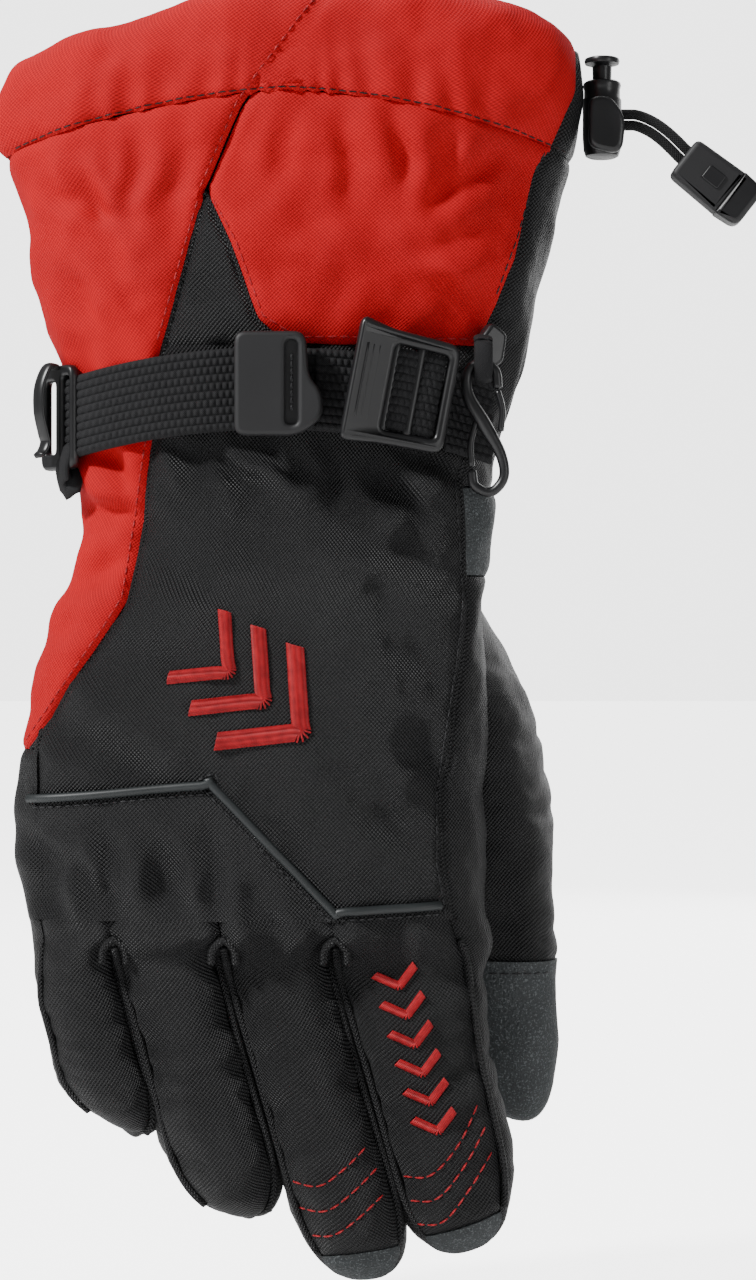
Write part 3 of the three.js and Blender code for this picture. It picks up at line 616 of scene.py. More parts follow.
def hem_grid(first, last, girth):
    """The hem's band, which puffs out between its rim and its stitches and rolls over at the rim."""
    grid = polar_grid(rim_z, hem_z, first, last, 34, girth)
    s = np.linspace(0, 1, grid.shape[0])[:, None]
    puff = 1.6 * np.sin(math.pi * s**0.8) - 2.0 * (1 - s) ** 9
    around = np.arctan2(grid[..., 1], grid[..., 0])
    pucker = 0.7 * s**3 * np.sin(around * 37 + 2 * np.sin(grid[..., 0] * 0.15))
    # The hem lies flat under the cord lock.
    under_lock = np.exp(-((grid[..., 1] / 9) ** 2)) * (grid[..., 0] > 55)
    height = (puff + pucker) * (1 - under_lock) + 0.1 * under_lock
    return grid + level_normals(grid) * height[..., None]


def thumb_side_angle(z):
    """Angle of the seam on the thumb's side. Above -12 it keeps a steady slant."""
    below = np.minimum(z, -12)
    return angle_at(below, line(THUMB_SIDE_SEAM, below)) - 0.36 * (z - below)


root_panel(
    "cuff_hem_red", hem_grid(thumb_side_angle, HEM_END, 300), RED, "cuff_hem", slot="red_fabric",
    rolled="blr", thick=2.0
)
root_panel("cuff_hem_black", hem_grid(HEM_END - 360, thumb_side_angle, 70), BLACK, rolled="blr", thick=2.0)

lining_grid = polar_grid(lambda a: rim_z(a) - 0.6, CUFF_END, 0, 360, 120, 330, wrapped=True)
lining_normal = level_normals(lining_grid, True)
lining_run = np.linspace(0, 1, lining_grid.shape[0])[:, None, None]
lining_depth = 3.7 + 1.5 * np.clip(lining_run * 12, 0, 1)
lining_depth = lining_depth - folds(lining_grid)[..., None] * np.clip(1 - lining_run * 4, 0, 1)
lining = shell(
    "cuff_lining_fleece",
    lining_grid - lining_normal * (lining_depth - 0.35 * noise_at(lining_grid, 9, 31)[..., None]), FLEECE,
    wrapped=True, outward=(0, 0, 0), rolled=""
)
place_piece(lining, "root", ["gauntlet_lining"])

left_angle = lambda z: angle_at(z, line(LEFT_SEAM, z))
right_angle = lambda z: angle_at(z, line(RIGHT_SEAM, z))
root_panel(
    "gauntlet_left_red", polar_grid(hem_z, LEFT_BOTTOM, left_angle, PALM_FROM, 158, 82), RED,
    "gauntlet_panel_left", slot="red_fabric"
)
root_panel(
    "gauntlet_right_red", polar_grid(hem_z, -88, thumb_side_angle, right_angle, 62, 74), RED,
    "gauntlet_panel_right", slot="red_fabric"
)
root_panel(
    "gauntlet_side_black", polar_grid(hem_z, CUFF_END, -52, thumb_side_angle, 90, 50), BLACK,
    "gauntlet_side_gusset"
)
root_panel(
    "gauntlet_under_black", polar_grid(hem_z, CUFF_END, PALM_FROM, 308, 95, 110), BLACK,
    "gauntlet_under_panel"
)
root_panel(
    "gauntlet_centre_black", polar_grid(-51, BACK_TOP, right_angle, left_angle, 38, 30), BLACK,
    "gauntlet_centre_inset"
)

# ---- Back of the hand and palm ----

FINGER_TOP = -229.0
root_panel(
    "hand_back_black",
    back_grid(
        lambda x: BACK_TOP + 0 * x,
        piping_z,
        lambda z: np.maximum(line(LEFT_SEAM, z), BACK_LEFT),
        side_seam,
        135,
        104,
    ),
    BLACK,
    "hand_back_panel",
)
root_panel(
    "knuckle_black",
    back_grid(piping_z, lambda x: FINGER_TOP + 0 * x, lambda z: BACK_LEFT + 0 * z, side_seam, 22, 104),
    BLACK, "knuckle_panel", rolled="t"
)
left_edge = lambda z: angle_at(z, BACK_LEFT + 0 * z)
root_panel(
    "little_side_black", polar_grid(LEFT_BOTTOM, FINGER_TOP, left_edge, LITTLE_SIDE, 43, 30), BLACK,
    "hand_side_little_finger", rolled="tr"
)
hand_side_angle = lambda z: angle_at(z, side_seam(z))
root_panel(
    "thumb_side_black", polar_grid(-144.4, FINGER_TOP, THUMB_SIDE, hand_side_angle, 86, 42), BLACK,
    "hand_side_thumb", rolled="tlr"
)
root_panel(
    "wrist_patch_grey", polar_grid(PALM_TOP, -144, THUMB_SIDE, hand_side_angle, 22, 42), LEATHER,
    "wrist_patch", slot="grey_leather"
)
root_panel(
    "palm_grey", polar_grid(PALM_TOP, FINGER_TOP, PALM_FROM, PALM_TO, 106, 120), LEATHER, "palm_panel",
    slot="grey_leather", rolled="tlr"
)

# ---- Fingers ----

SLANT = math.radians(15)
ACROSS = np.array((math.cos(SLANT), 0, math.sin(SLANT)))
DOWN = np.array((math.sin(SLANT), 0, -math.cos(SLANT)))
SLIDE = 0.27  # how far the slant moves the fingers' roots sideways for each millimetre down
# Each finger: x at the knuckles, length, half width, half depth, tip shear, drift, start of its grey cap.
FINGERS = {
    "little": (-54.6, 46.5, 12.2, 12.0, 0.8, 0.3, None),
    "ring": (-30.8, 69.6, 14.4, 13.4, 0.4, 0.5, None),
    "middle": (-3.8, 86.0, 14.8, 13.8, 0.15, 1.6, 78.0),
    "index": (23.5, 78.5, 14.8, 13.8, -0.05, 1.6, 71.0),
}
INDEX_FLARE = 8.5  # how much further the index finger's thumb side stands out at its root
EDGES = (-62.0, -44.5, -17.5, 10.0, 40.5)  # x of the lines between the fingers at FINGER_TOP
SIDE = 34  # degrees from the finger's side at which its back panel starts
ease = lambda t: np.clip(t, 0, 1) ** 2 * (3 - 2 * np.clip(t, 0, 1))


def finger_rows(start, length, tip=0.66, stop=None):
    """Distances down the finger and the share of its full section at each, ending in a rounded tip."""
    straight = np.linspace(start, tip * length, count(tip * length - start))
    turn = np.radians(np.linspace(0, 89, 20))[1:]
    rounded = tip * length + (1 - tip) * length * np.sin(turn) ** 0.84
    w = np.concatenate([straight, rounded])
    swell = np.concatenate([np.ones_like(straight), np.cos(turn) ** 0.8])
    if stop is not None:
        kept = np.linspace(start, stop, count(stop - start))
        swell = np.interp(kept, w, swell)
        w = kept
    return w[:, None], swell[:, None]


def finger_surface(name, w, swell, angle):
    """Surface of a finger, which grows out of the hand's surface above the knuckles."""
    x, length, width, depth, shear, drift, _ = FINGERS[name]
    i = list(FINGERS).index(name)
    a = np.radians(angle)
    share = w / length
    wide = width * (1 - 0.04 * np.sin(math.pi * np.clip(share * 1.3, 0, 1)))
    if name == "index":
        flare = np.clip(1 - share, 0, 1) + 0.2 * np.clip(1 - share / 0.4, 0, 1)
        wide = wide + INDEX_FLARE * np.clip(np.cos(a), 0, 1) ** 0.5 * flare
    side = spow(np.cos(a), 2 / SQUARE) * wide * swell
    deep = -spow(np.sin(a), 2 / FINGER_SQUARE) * depth * swell * (1 - 0.08 * share)
    fall = w + shear * side * np.clip(share, 0, 1) ** 2
    lateral = side + drift * np.clip(share, 0, 1.2) ** 1.5
    finger = np.array((x, 0, KNUCKLES)) + lateral[..., None] * ACROSS + fall[..., None] * DOWN
    finger = finger + deep[..., None] * np.array((0, 1, 0))
    z = np.broadcast_to(KNUCKLES - w * math.cos(SLANT), side.shape)
    slide = (FINGER_TOP - z) * SLIDE
    cosine = spow(np.cos(a), 2 / SQUARE) / spow(np.cos(np.radians(SIDE)), 2 / SQUARE)
    fraction = np.clip((1 - cosine) / 2, 0, 1)
    low, high = EDGES[i], EDGES[i + 1]
    palm_low = hand_point(FINGER_TOP, PALM_FROM)[0] if i == 0 else low
    palm_high = hand_point(FINGER_TOP, PALM_TO)[0] if i == 3 else high
    on_back = (angle >= SIDE) & (angle <= 180 - SIDE)
    on_palm = (angle >= 180 + SIDE) & (angle <= 360 - SIDE)
    back_x = high + (low - high) * fraction
    palm_x = palm_high + (palm_low - palm_high) * fraction
    back = hand_point(z, angle_at(z, back_x))
    palm = hand_point(z, 360 - angle_at(z, palm_x))
    # Between the fingers the side walls cross the hand; at its two edges they follow its side.
    left_share = np.clip((angle - 180 + SIDE) / (2 * SIDE), 0, 1)
    right_share = np.clip((np.where(angle > 180, angle - 360, angle) + SIDE) / (2 * SIDE), 0, 1)
    at_left = angle_at(z, low + 0 * z)
    at_right = angle_at(z, high + 0 * z)
    if i == 0:
        left = hand_point(z, at_left + (LITTLE_SIDE - at_left) * left_share)
    else:
        left = hand_point(z, at_left)
        left[..., 1] *= 1 - 2 * left_share
    if i == 3:
        right = hand_point(z, THUMB_SIDE + (at_right - THUMB_SIDE) * right_share)
    else:
        right = hand_point(z, at_right)
        right[..., 1] *= 2 * right_share - 1
    hand = np.where((np.cos(a) > 0)[..., None], right, left)
    hand = np.where(on_back[..., None], back, np.where(on_palm[..., None], palm, hand))
    hand[..., 0] += slide
    outer = np.clip(np.cos(a), 0, 1) if i == 3 else np.clip(-np.cos(a), 0, 1) if i == 0 else 0
    k = ease((w + 5.5 + 2 * outer) / (12 + 10 * outer))[..., None] + 0 * hand
    return hand * (1 - k) + finger * k, k[..., 0]


def finger_folds(points, w, angle, seed, length):
    """Soft bulges, and creases across the finger where it bends."""
    total = 0.9 * noise_at(points, 14, seed) + 0.55 * noise_at(points, 7, seed + 1)
    total = total + 0.12 * noise_at(points, 3, seed + 2)
    back = np.clip(np.sin(np.radians(angle)), 0, 1)
    for place, depth in ((0.14, 0.5), (0.3, 0.4), (0.44, 0.75), (0.55, 0.5), (0.74, 0.45)):
        bend = place * length + 2.2 * np.sin(np.radians(angle) * 2 + seed * 1.7 + place * 9)
        at_sides = 0.25 + 0.75 * np.abs(np.cos(np.radians(angle)))
        total -= depth * np.exp(-(((w - bend) / 1.9) ** 2)) * at_sides
    return total + 0.5 * back * np.sin(math.pi * np.clip(w / length, 0, 1))


def finger_grid(name, first, last, start, girth, stop=None, tip_only=None):
    x, length = FINGERS[name][:2]
    seed = 11 + 5 * list(FINGERS).index(name)
    w, swell = finger_rows(start, length, stop=stop)
    if tip_only is not None:
        keep = w[:, 0] >= tip_only
        w, swell = w[keep], swell[keep]
    angle = np.linspace(first, last, count(girth))[None, :] + 0 * w
    w, swell = w + 0 * angle, swell + 0 * angle
    surface, k = finger_surface(name, w, swell, angle)
    centre = np.array((x, 0, KNUCKLES)) + w[..., None] * DOWN
    normal = out_facing(grid_normals(surface, False), surface - centre)
    height = (1 - k) * folds(surface) + k * finger_folds(surface, w, angle, seed, length)
    calm = ease((length - w) / 6)
    return surface + normal * (height * calm)[..., None]


finger_fabric = {}


def lining_grid_of(grid, start, down, gap=3.2):
    """A closed sleeve inside a finger's or the thumb's cloth, a few millimetres in from it."""
    axis = start + ((grid - start) @ down)[..., None] * down
    axis = axis + (grid - axis).mean(1, keepdims=True)
    inward = axis - grid
    reach = np.linalg.norm(inward, axis=-1, keepdims=True)
    return grid + inward * np.minimum(gap / np.maximum(reach, 1e-6), 0.5)


def finger_panel(name, part, grid, material, *nodes, slot="black_fabric", **settings):
    x = FINGERS[name][0]
    centre = np.array((x, 0, KNUCKLES)) + 0.4 * FINGERS[name][1] * DOWN
    made = shell(f"{name}_finger_{part}", grid, material, outward=centre, **settings)
    finger_fabric.setdefault(name, []).append(place_piece(made, None, nodes))
    return made


for name, (*_, cap_start) in FINGERS.items():
    finger_panel(
        name, "back_black", finger_grid(name, SIDE, 180 - SIDE, -8.3, 27, stop=cap_start), BLACK,
        f"{name}_finger_back", rolled="lrb" if cap_start else "lr", roll=1.0
    )
    if cap_start:
        finger_panel(
            name, "cap_grey",
            finger_grid(name, SIDE - 0.5, 180.5 - SIDE, -8.3, 27, tip_only=cap_start - 1.2), LEATHER,
            slot="grey_leather", rolled="t", roll=0.5
        )
    outer_left = -8.3 if name == "little" else -2.5
    outer_right = -8.3 if name == "index" else -2.5
    finger_panel(
        name, "left_wall", finger_grid(name, 177 - SIDE, 183 + SIDE, outer_left, 20), BLACK, rolled="lr",
        roll=0.5
    )
    finger_panel(
        name, "right_wall", finger_grid(name, -SIDE - 3, SIDE + 3, outer_right, 20), BLACK, rolled="lr",
        roll=0.5
    )
    finger_panel(
        name, "palm_grey", finger_grid(name, 180 + SIDE, 360 - SIDE, -8.3, 27), LEATHER,
        f"{name}_finger_palm", slot="grey_leather", rolled="lr"
    )

for name, (x, *_) in FINGERS.items():
    sleeve = lining_grid_of(finger_grid(name, 0, 360, 8, 80), np.array((x, 0, KNUCKLES)), DOWN)
    finger_panel(name, "lining_fleece", sleeve, FLEECE, f"{name}_finger_lining", slot="lining", rolled="")

# ---- Thumb ----

THUMB_ROOT = np.array((48.3, 33.0, -168.0))
THUMB_SLANT = math.radians(3.8)
THUMB_ACROSS = np.array((math.cos(THUMB_SLANT), 0, math.sin(THUMB_SLANT)))
THUMB_DOWN = np.array((math.sin(THUMB_SLANT), 0, -math.cos(THUMB_SLANT)))
THUMB_LENGTH = 116.0
THUMB_CAP = 75.0
# Distance down the thumb, sideways shift, half width, depth of its front and of its rear half.
THUMB_SECTIONS = np.array(
    [
        (-30, -15, 8, 10, 3),
        (-20, -13, 12, 22, 8),
        (-8, -10, 15.5, 30, 11),
        (6, -7, 18.5, 32, 12.5),
        (20, -4.4, 19.5, 30, 13),
        (36, -2.4, 18.6, 25, 13),
        (52, -1.0, 16.6, 19.5, 13),
        (70, 0.0, 14.8, 15, 12.8),
        (95, 0.6, 13.2, 12.8, 12.2),
        (118, 1.0, 12.4, 12, 12),
    ],
    float,
)


def thumb_grid(first, last, start, girth, stop=None, tip_only=None):
    w, swell = finger_rows(start, THUMB_LENGTH, tip=0.76, stop=stop)
    if tip_only is not None:
        keep = w[:, 0] >= tip_only
        w, swell = w[keep], swell[keep]
    root = np.clip((w + 30) / 14, 0, 1)
    swell = swell * np.sqrt(np.clip(1 - (1 - root) ** 2, 0.0004, 1))
    angle = np.linspace(first, last, count(girth))[None, :] + 0 * w
    a = np.radians(angle)
    w, swell = w + 0 * angle, swell + 0 * angle
    shift, half, front, rear = (
        np.interp(w, THUMB_SECTIONS[:, 0], THUMB_SECTIONS[:, k]) for k in range(1, 5)
    )
    deep = np.where(np.sin(a) > 0, front, rear)
    side = shift + half * swell * spow(np.cos(a), 2 / 2.3)
    fall = w + 0.32 * side * np.clip(w / THUMB_LENGTH, 0, 1) ** 3
    surface = THUMB_ROOT + side[..., None] * THUMB_ACROSS + fall[..., None] * THUMB_DOWN
    surface = surface - (deep * swell * spow(np.sin(a), 2 / FINGER_SQUARE))[..., None] * np.array((0, 1, 0))
    centre = THUMB_ROOT + w[..., None] * THUMB_DOWN + shift[..., None] * THUMB_ACROSS
    normal = out_facing(grid_normals(surface, False), surface - centre)
    height = 0.9 * noise_at(surface, 17, 41) + 0.5 * noise_at(surface, 8, 42)
    height = height + 0.12 * noise_at(surface, 3.5, 43)
    for place, depth in ((-6, 0.7), (12, 0.9), (24, 0.7), (40, 1.0), (47, 0.6), (62, 0.6)):
        bend = place + 5 * np.cos(a + place) + 2 * np.sin(3 * a)
        height -= depth * np.exp(-(((w - bend) / 2.4) ** 2)) * (0.4 + 0.6 * np.abs(np.cos(a + place * 0.3)))
    calm = ease((THUMB_LENGTH - w) / 8) * ease((w + 30) / 8)
    return surface + normal * (height * calm)[..., None]


thumb_fabric = []


def thumb_panel(part, grid, material, *nodes, slot="black_fabric", **settings):
    made = shell(f"thumb_{part}", grid, material, outward=THUMB_ROOT + 40 * THUMB_DOWN, **settings)
    thumb_fabric.append(place_piece(made, None, nodes))
    return made


thumb_panel(
    "front_black", thumb_grid(-14, 176, -29.5, 66, stop=THUMB_CAP), BLACK, "thumb_back", "thumb_gusset",
    rolled="lrb",
)
thumb_panel(
    "cap_leather", thumb_grid(-14, 176, -29.5, 50, tip_only=THUMB_CAP - 0.8), LEATHER, "thumb_tip_cap",
    slot="grey_leather", rolled="lr", lift=0.25
)
thumb_panel(
    "rear_leather", thumb_grid(176, 346, -29.5, 50), LEATHER, "thumb_palm", slot="grey_leather",
    rolled="lr"
)

thumb_inside = lining_grid_of(thumb_grid(0, 360, -12, 90), THUMB_ROOT, THUMB_DOWN)
thumb_panel("lining_fleece", thumb_inside, FLEECE, "thumb_lining", slot="lining", rolled="")

# ---- Tools for trims, hardware and stitches ----

WELL_OUTSIDE = 200  # distance in front of or behind the glove from which its surface is looked at


def rounded(points, radius, steps=5):
    """A closed outline with its corners rounded. A point may give its own radius as a third value."""
    out = []
    pts = [np.array(p[:2], float) for p in points]
    for i, here in enumerate(pts):
        before, after = pts[i - 1], pts[(i + 1) % len(pts)]
        own = points[i][2] if len(points[i]) > 2 else radius
        to_before, to_after = before - here, after - here
        reach = min(own, 0.49 * np.linalg.norm(to_before), 0.49 * np.linalg.norm(to_after))
        start = here + to_before / np.linalg.norm(to_before) * reach
        end = here + to_after / np.linalg.norm(to_after) * reach
        for t in np.linspace(0, 1, steps):
            out.append((1 - t) ** 2 * start + 2 * t * (1 - t) * here + t * t * end)
    return out


def oblong(width, height, radius, x=0.0, y=0.0):
    w, h = width / 2, height / 2
    return rounded([(x - w, y - h), (x + w, y - h), (x + w, y + h), (x - w, y + h)], radius)


def turn_matrix(turn):
    """The rotation by degrees about y, then x, then z, given as (x, y, z)."""
    a, b, c = (math.radians(v) for v in turn)
    from_x = np.array([[1, 0, 0], [0, math.cos(a), -math.sin(a)], [0, math.sin(a), math.cos(a)]])
    from_y = np.array([[math.cos(b), 0, math.sin(b)], [0, 1, 0], [-math.sin(b), 0, math.cos(b)]])
    from_z = np.array([[math.cos(c), -math.sin(c), 0], [math.sin(c), math.cos(c), 0], [0, 0, 1]])
    return from_z @ from_x @ from_y


def plate(name, outlines, thick, bevel, material, place, turn=(0, 0, 0), resolution=3, shape=None):
    """A moulded plate with rounded edges, drawn in x and z with its front towards -y, and set at place."""
    curve = bpy.data.curves.new(name, "CURVE")
    curve.dimensions = "2D"
    curve.fill_mode = "BOTH"
    curve.extrude = (thick / 2 - bevel) * MM
    curve.bevel_depth = bevel * MM
    curve.bevel_resolution = resolution
    curve.offset = -bevel * MM
    for outline in outlines:
        spline = curve.splines.new("POLY")
        spline.points.add(len(outline) - 1)
        for point, (x, y) in zip(spline.points, outline):
            point.co = (x * MM, y * MM, 0, 1)
        spline.use_cyclic_u = True
    draft = bpy.data.objects.new(name + "_draft", curve)
    bpy.context.scene.collection.objects.link(draft)
    bpy.context.view_layer.update()
    mesh = bpy.data.meshes.new_from_object(draft.evaluated_get(bpy.context.evaluated_depsgraph_get()))
    bpy.data.objects.remove(draft)
    co = np.array([v.co for v in mesh.vertices], float).reshape(-1, 3) / MM
    co = np.stack([co[:, 0], -co[:, 2], co[:, 1]], -1)
    if shape is not None:
        co = shape(co)
    co = co @ turn_matrix(turn).T + np.array(place, float)
    mesh.vertices.foreach_set("co", (co * MM).ravel())
    mesh.materials.clear()
    mesh.materials.append(material)
    mesh.update()
    made = bpy.data.objects.new(name, mesh)
    bpy.context.scene.collection.objects.link(made)
    smooth_by_angle(made)
    return made


def smooth_by_angle(made, limit=38):
    mesh = made.data
    mesh.polygons.foreach_set("use_smooth", [True] * len(mesh.polygons))
    mesh.set_sharp_from_angle(angle=math.radians(limit))


def spline_points(points, count_between=8):
    """Catmull-Rom through points."""
    p = np.array(points, float)
    p = np.concatenate([2 * p[:1] - p[1:2], p, 2 * p[-1:] - p[-2:-1]])
    out = []
    for i in range(1, len(p) - 2):
        for t in np.arange(count_between) / count_between:
            slope = (p[i + 1] - p[i - 1]) * t
            bend = (2 * p[i - 1] - 5 * p[i] + 4 * p[i + 1] - p[i + 2]) * t * t
            twist = (3 * p[i] - p[i - 1] - 3 * p[i + 1] + p[i + 2]) * t**3
            out.append(0.5 * (2 * p[i] + slope + bend + twist))
    out.append(p[-2])
    return np.array(out)


def tube_mesh(paths, radius, sides=8, flat=1.0, up=None, taper=None):
    """Vertices, faces and UVs of tubes along paths, which flat makes thinner in the direction up."""
    vertices, faces, uvs = [], [], []
    for path in paths:
        path = np.asarray(path, float)
        n = len(path)
        tangent = np.gradient(path, axis=0)
        tangent /= np.maximum(np.linalg.norm(tangent, axis=1, keepdims=True), 1e-9)
        guide = np.broadcast_to(np.array(up if up is not None else (0.0, 1.0, 0.0), float), path.shape)
        side = np.cross(tangent, guide)
        weak = np.linalg.norm(side, axis=1) < 1e-3
        side[weak] = np.cross(tangent[weak], (1.0, 0.0, 0.31))
        side /= np.linalg.norm(side, axis=1, keepdims=True)
        other = np.cross(side, tangent)
        along = run_along(path)
        size = radius * (np.ones(n) if taper is None else np.array([taper(v / along[-1]) for v in along]))
        angle = np.arange(sides) / sides * TURN
        cosine, sine = np.cos(angle)[None, :, None], np.sin(angle)[None, :, None]
        ring = cosine * side[:, None] + flat * sine * other[:, None]
        base = sum(len(v) for v in vertices)
        vertices.append((path[:, None] + ring * size[:, None, None]).reshape(-1, 3))
        around = angle * radius
        uvs.append(np.stack(np.broadcast_arrays(around[None, :], along[:, None]), -1).reshape(-1, 2))
        for i in range(n - 1):
            here, ahead = base + i * sides, base + (i + 1) * sides
            for k in range(sides):
                m = (k + 1) % sides
                faces.append((here + k, ahead + k, ahead + m, here + m))
        for end, row in enumerate((0, n - 1)):
            for k in range(sides):
                m = (k + 1) % sides
                tri = (base + n * sides + end, base + row * sides + k, base + row * sides + m)
                faces.append(tri[::-1] if end else tri)
        bulge = size[0] * 0.5
        vertices.append(np.array([path[0] - tangent[0] * bulge, path[-1] + tangent[-1] * bulge]))
        uvs.append(np.zeros((2, 2)))
    return np.concatenate(vertices), faces, np.concatenate(uvs)


def tubes(name, paths, radius, material, slot=None, **settings):
    """One mesh of tubes along paths in millimetres."""
    vertices, faces, uvs = tube_mesh(paths, radius, **settings)
    return place_piece(new_object(name, vertices, faces, material, uvs))


class Surface:
    """Points on the front or rear of finished pieces, found by looking straight at them."""

    def __init__(self, pieces):
        vertices, faces = [], []
        for piece in pieces:
            base = len(vertices)
            vertices += [v.co / MM for v in piece.data.vertices]
            faces += [[base + i for i in f.vertices] for f in piece.data.polygons]
        self.tree = BVHTree.FromPolygons(vertices, faces)

    def at(self, x, z, above=0.0, front=True):
        sign = -1 if front else 1
        start = Vector((x, sign * WELL_OUTSIDE, z))
        hit, normal, _, _ = self.tree.ray_cast(start, Vector((0, -sign, 0)))
        if hit is None:
            return None
        if normal.y * sign < 0:
            normal = -normal
        return np.array(hit + normal * above)

    def path(self, points, above=0.0, spacing=0.5, front=True):
        """A line through (x, z) points laid on the surface."""
        p = np.array(points, float)
        run = run_along(p)
        at = np.linspace(0, run[-1], max(2, int(run[-1] / spacing)))
        found = [self.at(np.interp(s, run, p[:, 0]), np.interp(s, run, p[:, 1]), above, front) for s in at]
        return np.array([f for f in found if f is not None])


def dashes(path, stitch, gap):
    """The stretches of a path that show as stitches."""
    run = run_along(path)
    out = []
    start = gap
    while start + stitch < run[-1]:
        at = np.linspace(start, start + stitch, 5)
        dash = np.stack([np.interp(at, run, path[:, k]) for k in range(3)], -1)
        out.append(dash)
        start += stitch + gap
    return out


def stitches(
    name, surface, lines, material, body="root", stitch=2.1, gap=0.9, radius=0.27, above=0.05, front=True,
    slot="black_fabric"
):
    paths = []
    for points in lines:
        path = surface.path(points, above, 0.4, front)
        if len(path) > 3:
            paths += dashes(path, stitch, gap)
    made = tubes(
        name, paths, radius, material, slot, sides=6, taper=lambda t: 0.55 + 0.45 * math.sin(math.pi * t)
    )
    return place_piece(made, body)


def beside(points, offset):
    """A line of (x, z) points moved sideways: to its left going along it when offset is positive."""
    p = np.array(points, float)
    d = np.gradient(p, axis=0)
    d /= np.linalg.norm(d, axis=1, keepdims=True)
    return p + offset * np.stack([-d[:, 1], d[:, 0]], -1)


# ---- Seams and stitching on the gauntlet and hand ----


def skin(points, above):
    """Points of the folded back of the hand at (x, z), raised a little along its normal."""
    x, z = np.array(points, float).T
    angle = angle_at(z, x)
    here = hand_point(z, angle)
    normal = np.cross(hand_point(z, angle + 0.5) - here, hand_point(z - 0.5, angle) - here)
    normal /= np.linalg.norm(normal, axis=-1, keepdims=True)
    normal = np.where(normal[:, 1:2] > 0, -normal, normal)
    return here + normal * (folds(here) + above)[:, None]


front = Surface(root_fabric)
xz = lambda seam, low=-999, high=999: [(x, z) for z, x in seam if low <= z <= high]
hem_line = [(hand_point(hem_z(a), a)[0], float(hem_z(a))) for a in np.linspace(163, 12, 60)]
stitches(
    "hem_stitching", front, [[(x, z + 0.9) for x, z in hem_line]], DARK_RED_THREAD, stitch=1.9, gap=0.8,
    radius=0.22
)
red_lines = [
    beside([(9.5, -2), (-11, -30), (-20, -51)], -1.6), beside([(-20, -53), (-31, -90)], -1.8),
    beside([(-33, -110), (-39, -150), (-44, -158), (-64, -186)], -1.8),
    beside([(-20, -53), (-14, -64), (-7.5, -82), (0, -87)], 1.8), beside([(0, -88), (46, -88)], 1.8)
]
stitches("red_seam_stitching", front, red_lines, RED_THREAD, radius=0.24, slot="red_fabric")
side_lines = [beside(xz(HAND_SIDE_SEAM), -1.6), beside(xz(THUMB_SIDE_SEAM, -88, -33), -1.5)]
stitches("side_seam_stitching", front, side_lines, BLACK_THREAD, radius=0.22)
backing_lines = [
    xz(LEFT_SEAM, -200, -50), xz(RIGHT_SEAM, -200, -50), xz(HAND_SIDE_SEAM),
    xz(THUMB_SIDE_SEAM, -130, -35), [(BACK_LEFT - 0.6, z) for z in (-178, -184, -190, -198, -210, -225)]
]
backing = [skin(spline_points(points, 8), -1.5) for points in backing_lines]
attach(tubes("seam_tape", backing, 1.15, BLACK, "black_fabric", sides=8), "root")
piping_line = spline_points(PIPING, 6)
piping_line = piping_line[(piping_line[:, 0] > -64.5) & (piping_line[:, 0] < 40.5)]
piping = tubes("knuckle_piping_cord", [skin(piping_line, 0.3)], 1.1, PIPING_GREY, "piping", sides=10)
place_piece(piping, "root", ["knuckle_piping"])
stitches("piping_stitching", front, [beside(piping_line, -2.2)], BLACK_THREAD, stitch=1.6, gap=0.8)

# The palm's sewn reinforcement, the binding where the palm meets the gauntlet, and their stitches.
rear = Surface(root_fabric)
PATCH_X, PATCH_Z, PATCH_HALF_WIDTH, PATCH_HALF_HEIGHT = -9.0, -184.0, 25.0, 33.0
BARREL = 0.16  # how far the patch's sides bow out


def on_palm(across, up):
    """x and z of places on the patch, given from -1 to 1 across and up it."""
    x = PATCH_X + PATCH_HALF_WIDTH * across * np.sqrt(1 - BARREL * up**2)
    z = PATCH_Z + PATCH_HALF_HEIGHT * up * np.sqrt(1 - BARREL * across**2)
    return x, z


def patch_line(scale):
    """A closed line of (x, z) points inside the patch's edge, at a share of its size."""
    at = np.linspace(0, 4, 80)
    across = np.interp(at, range(5), (-1, 1, 1, -1, -1)) * scale
    up = np.interp(at, range(5), (-1, -1, 1, 1, -1)) * scale
    return list(zip(*on_palm(across, up)))


across = np.linspace(-1, 1, 46)[None, :]
up = np.linspace(1, -1, 60)[:, None]
patch_grid = np.array(
    [[rear.at(x, z, 0, False) for x, z in zip(*row)] for row in zip(*on_palm(across, up))]
)
quilting = sum(np.exp(-(((across * 25 + up * 14 - shift) / 1.3) ** 2)) for shift in (-16, 0, 16))
patch = shell(
    "palm_patch_leather", patch_grid, LEATHER, thick=2.6, roll=1.1, outward=(PATCH_X, 0, PATCH_Z),
    lift=1.7 + 1.5 * (1 - across**4) * (1 - up**4) - 1.2 * quilting
)
place_piece(patch, "root", ["palm_reinforcement"])
on_patch = Surface([patch])
stitches("palm_patch_stitching", on_patch, [patch_line(0.93), patch_line(0.86)], BLACK_THREAD, front=False)
binding_grid = folded(polar_grid(-121.0, -123.4, 206.5, 318.5, 3, 110))
binding_path = (binding_grid + 0.25 * level_normals(binding_grid))[binding_grid.shape[0] // 2]
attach(tubes("palm_seam_binding", [binding_path], 1.15, BLACK, "black_fabric", sides=10), "root")
palm_rows = [
    [(x, -125.6) for x in np.linspace(-46, 34, 30)], [(x, -127.4) for x in np.linspace(-46, 34, 30)]
]
stitches("palm_seam_stitching", rear, palm_rows, BLACK_THREAD, front=False, slot="grey_leather")

# ---- Welts along the fingers and stitch rows ----

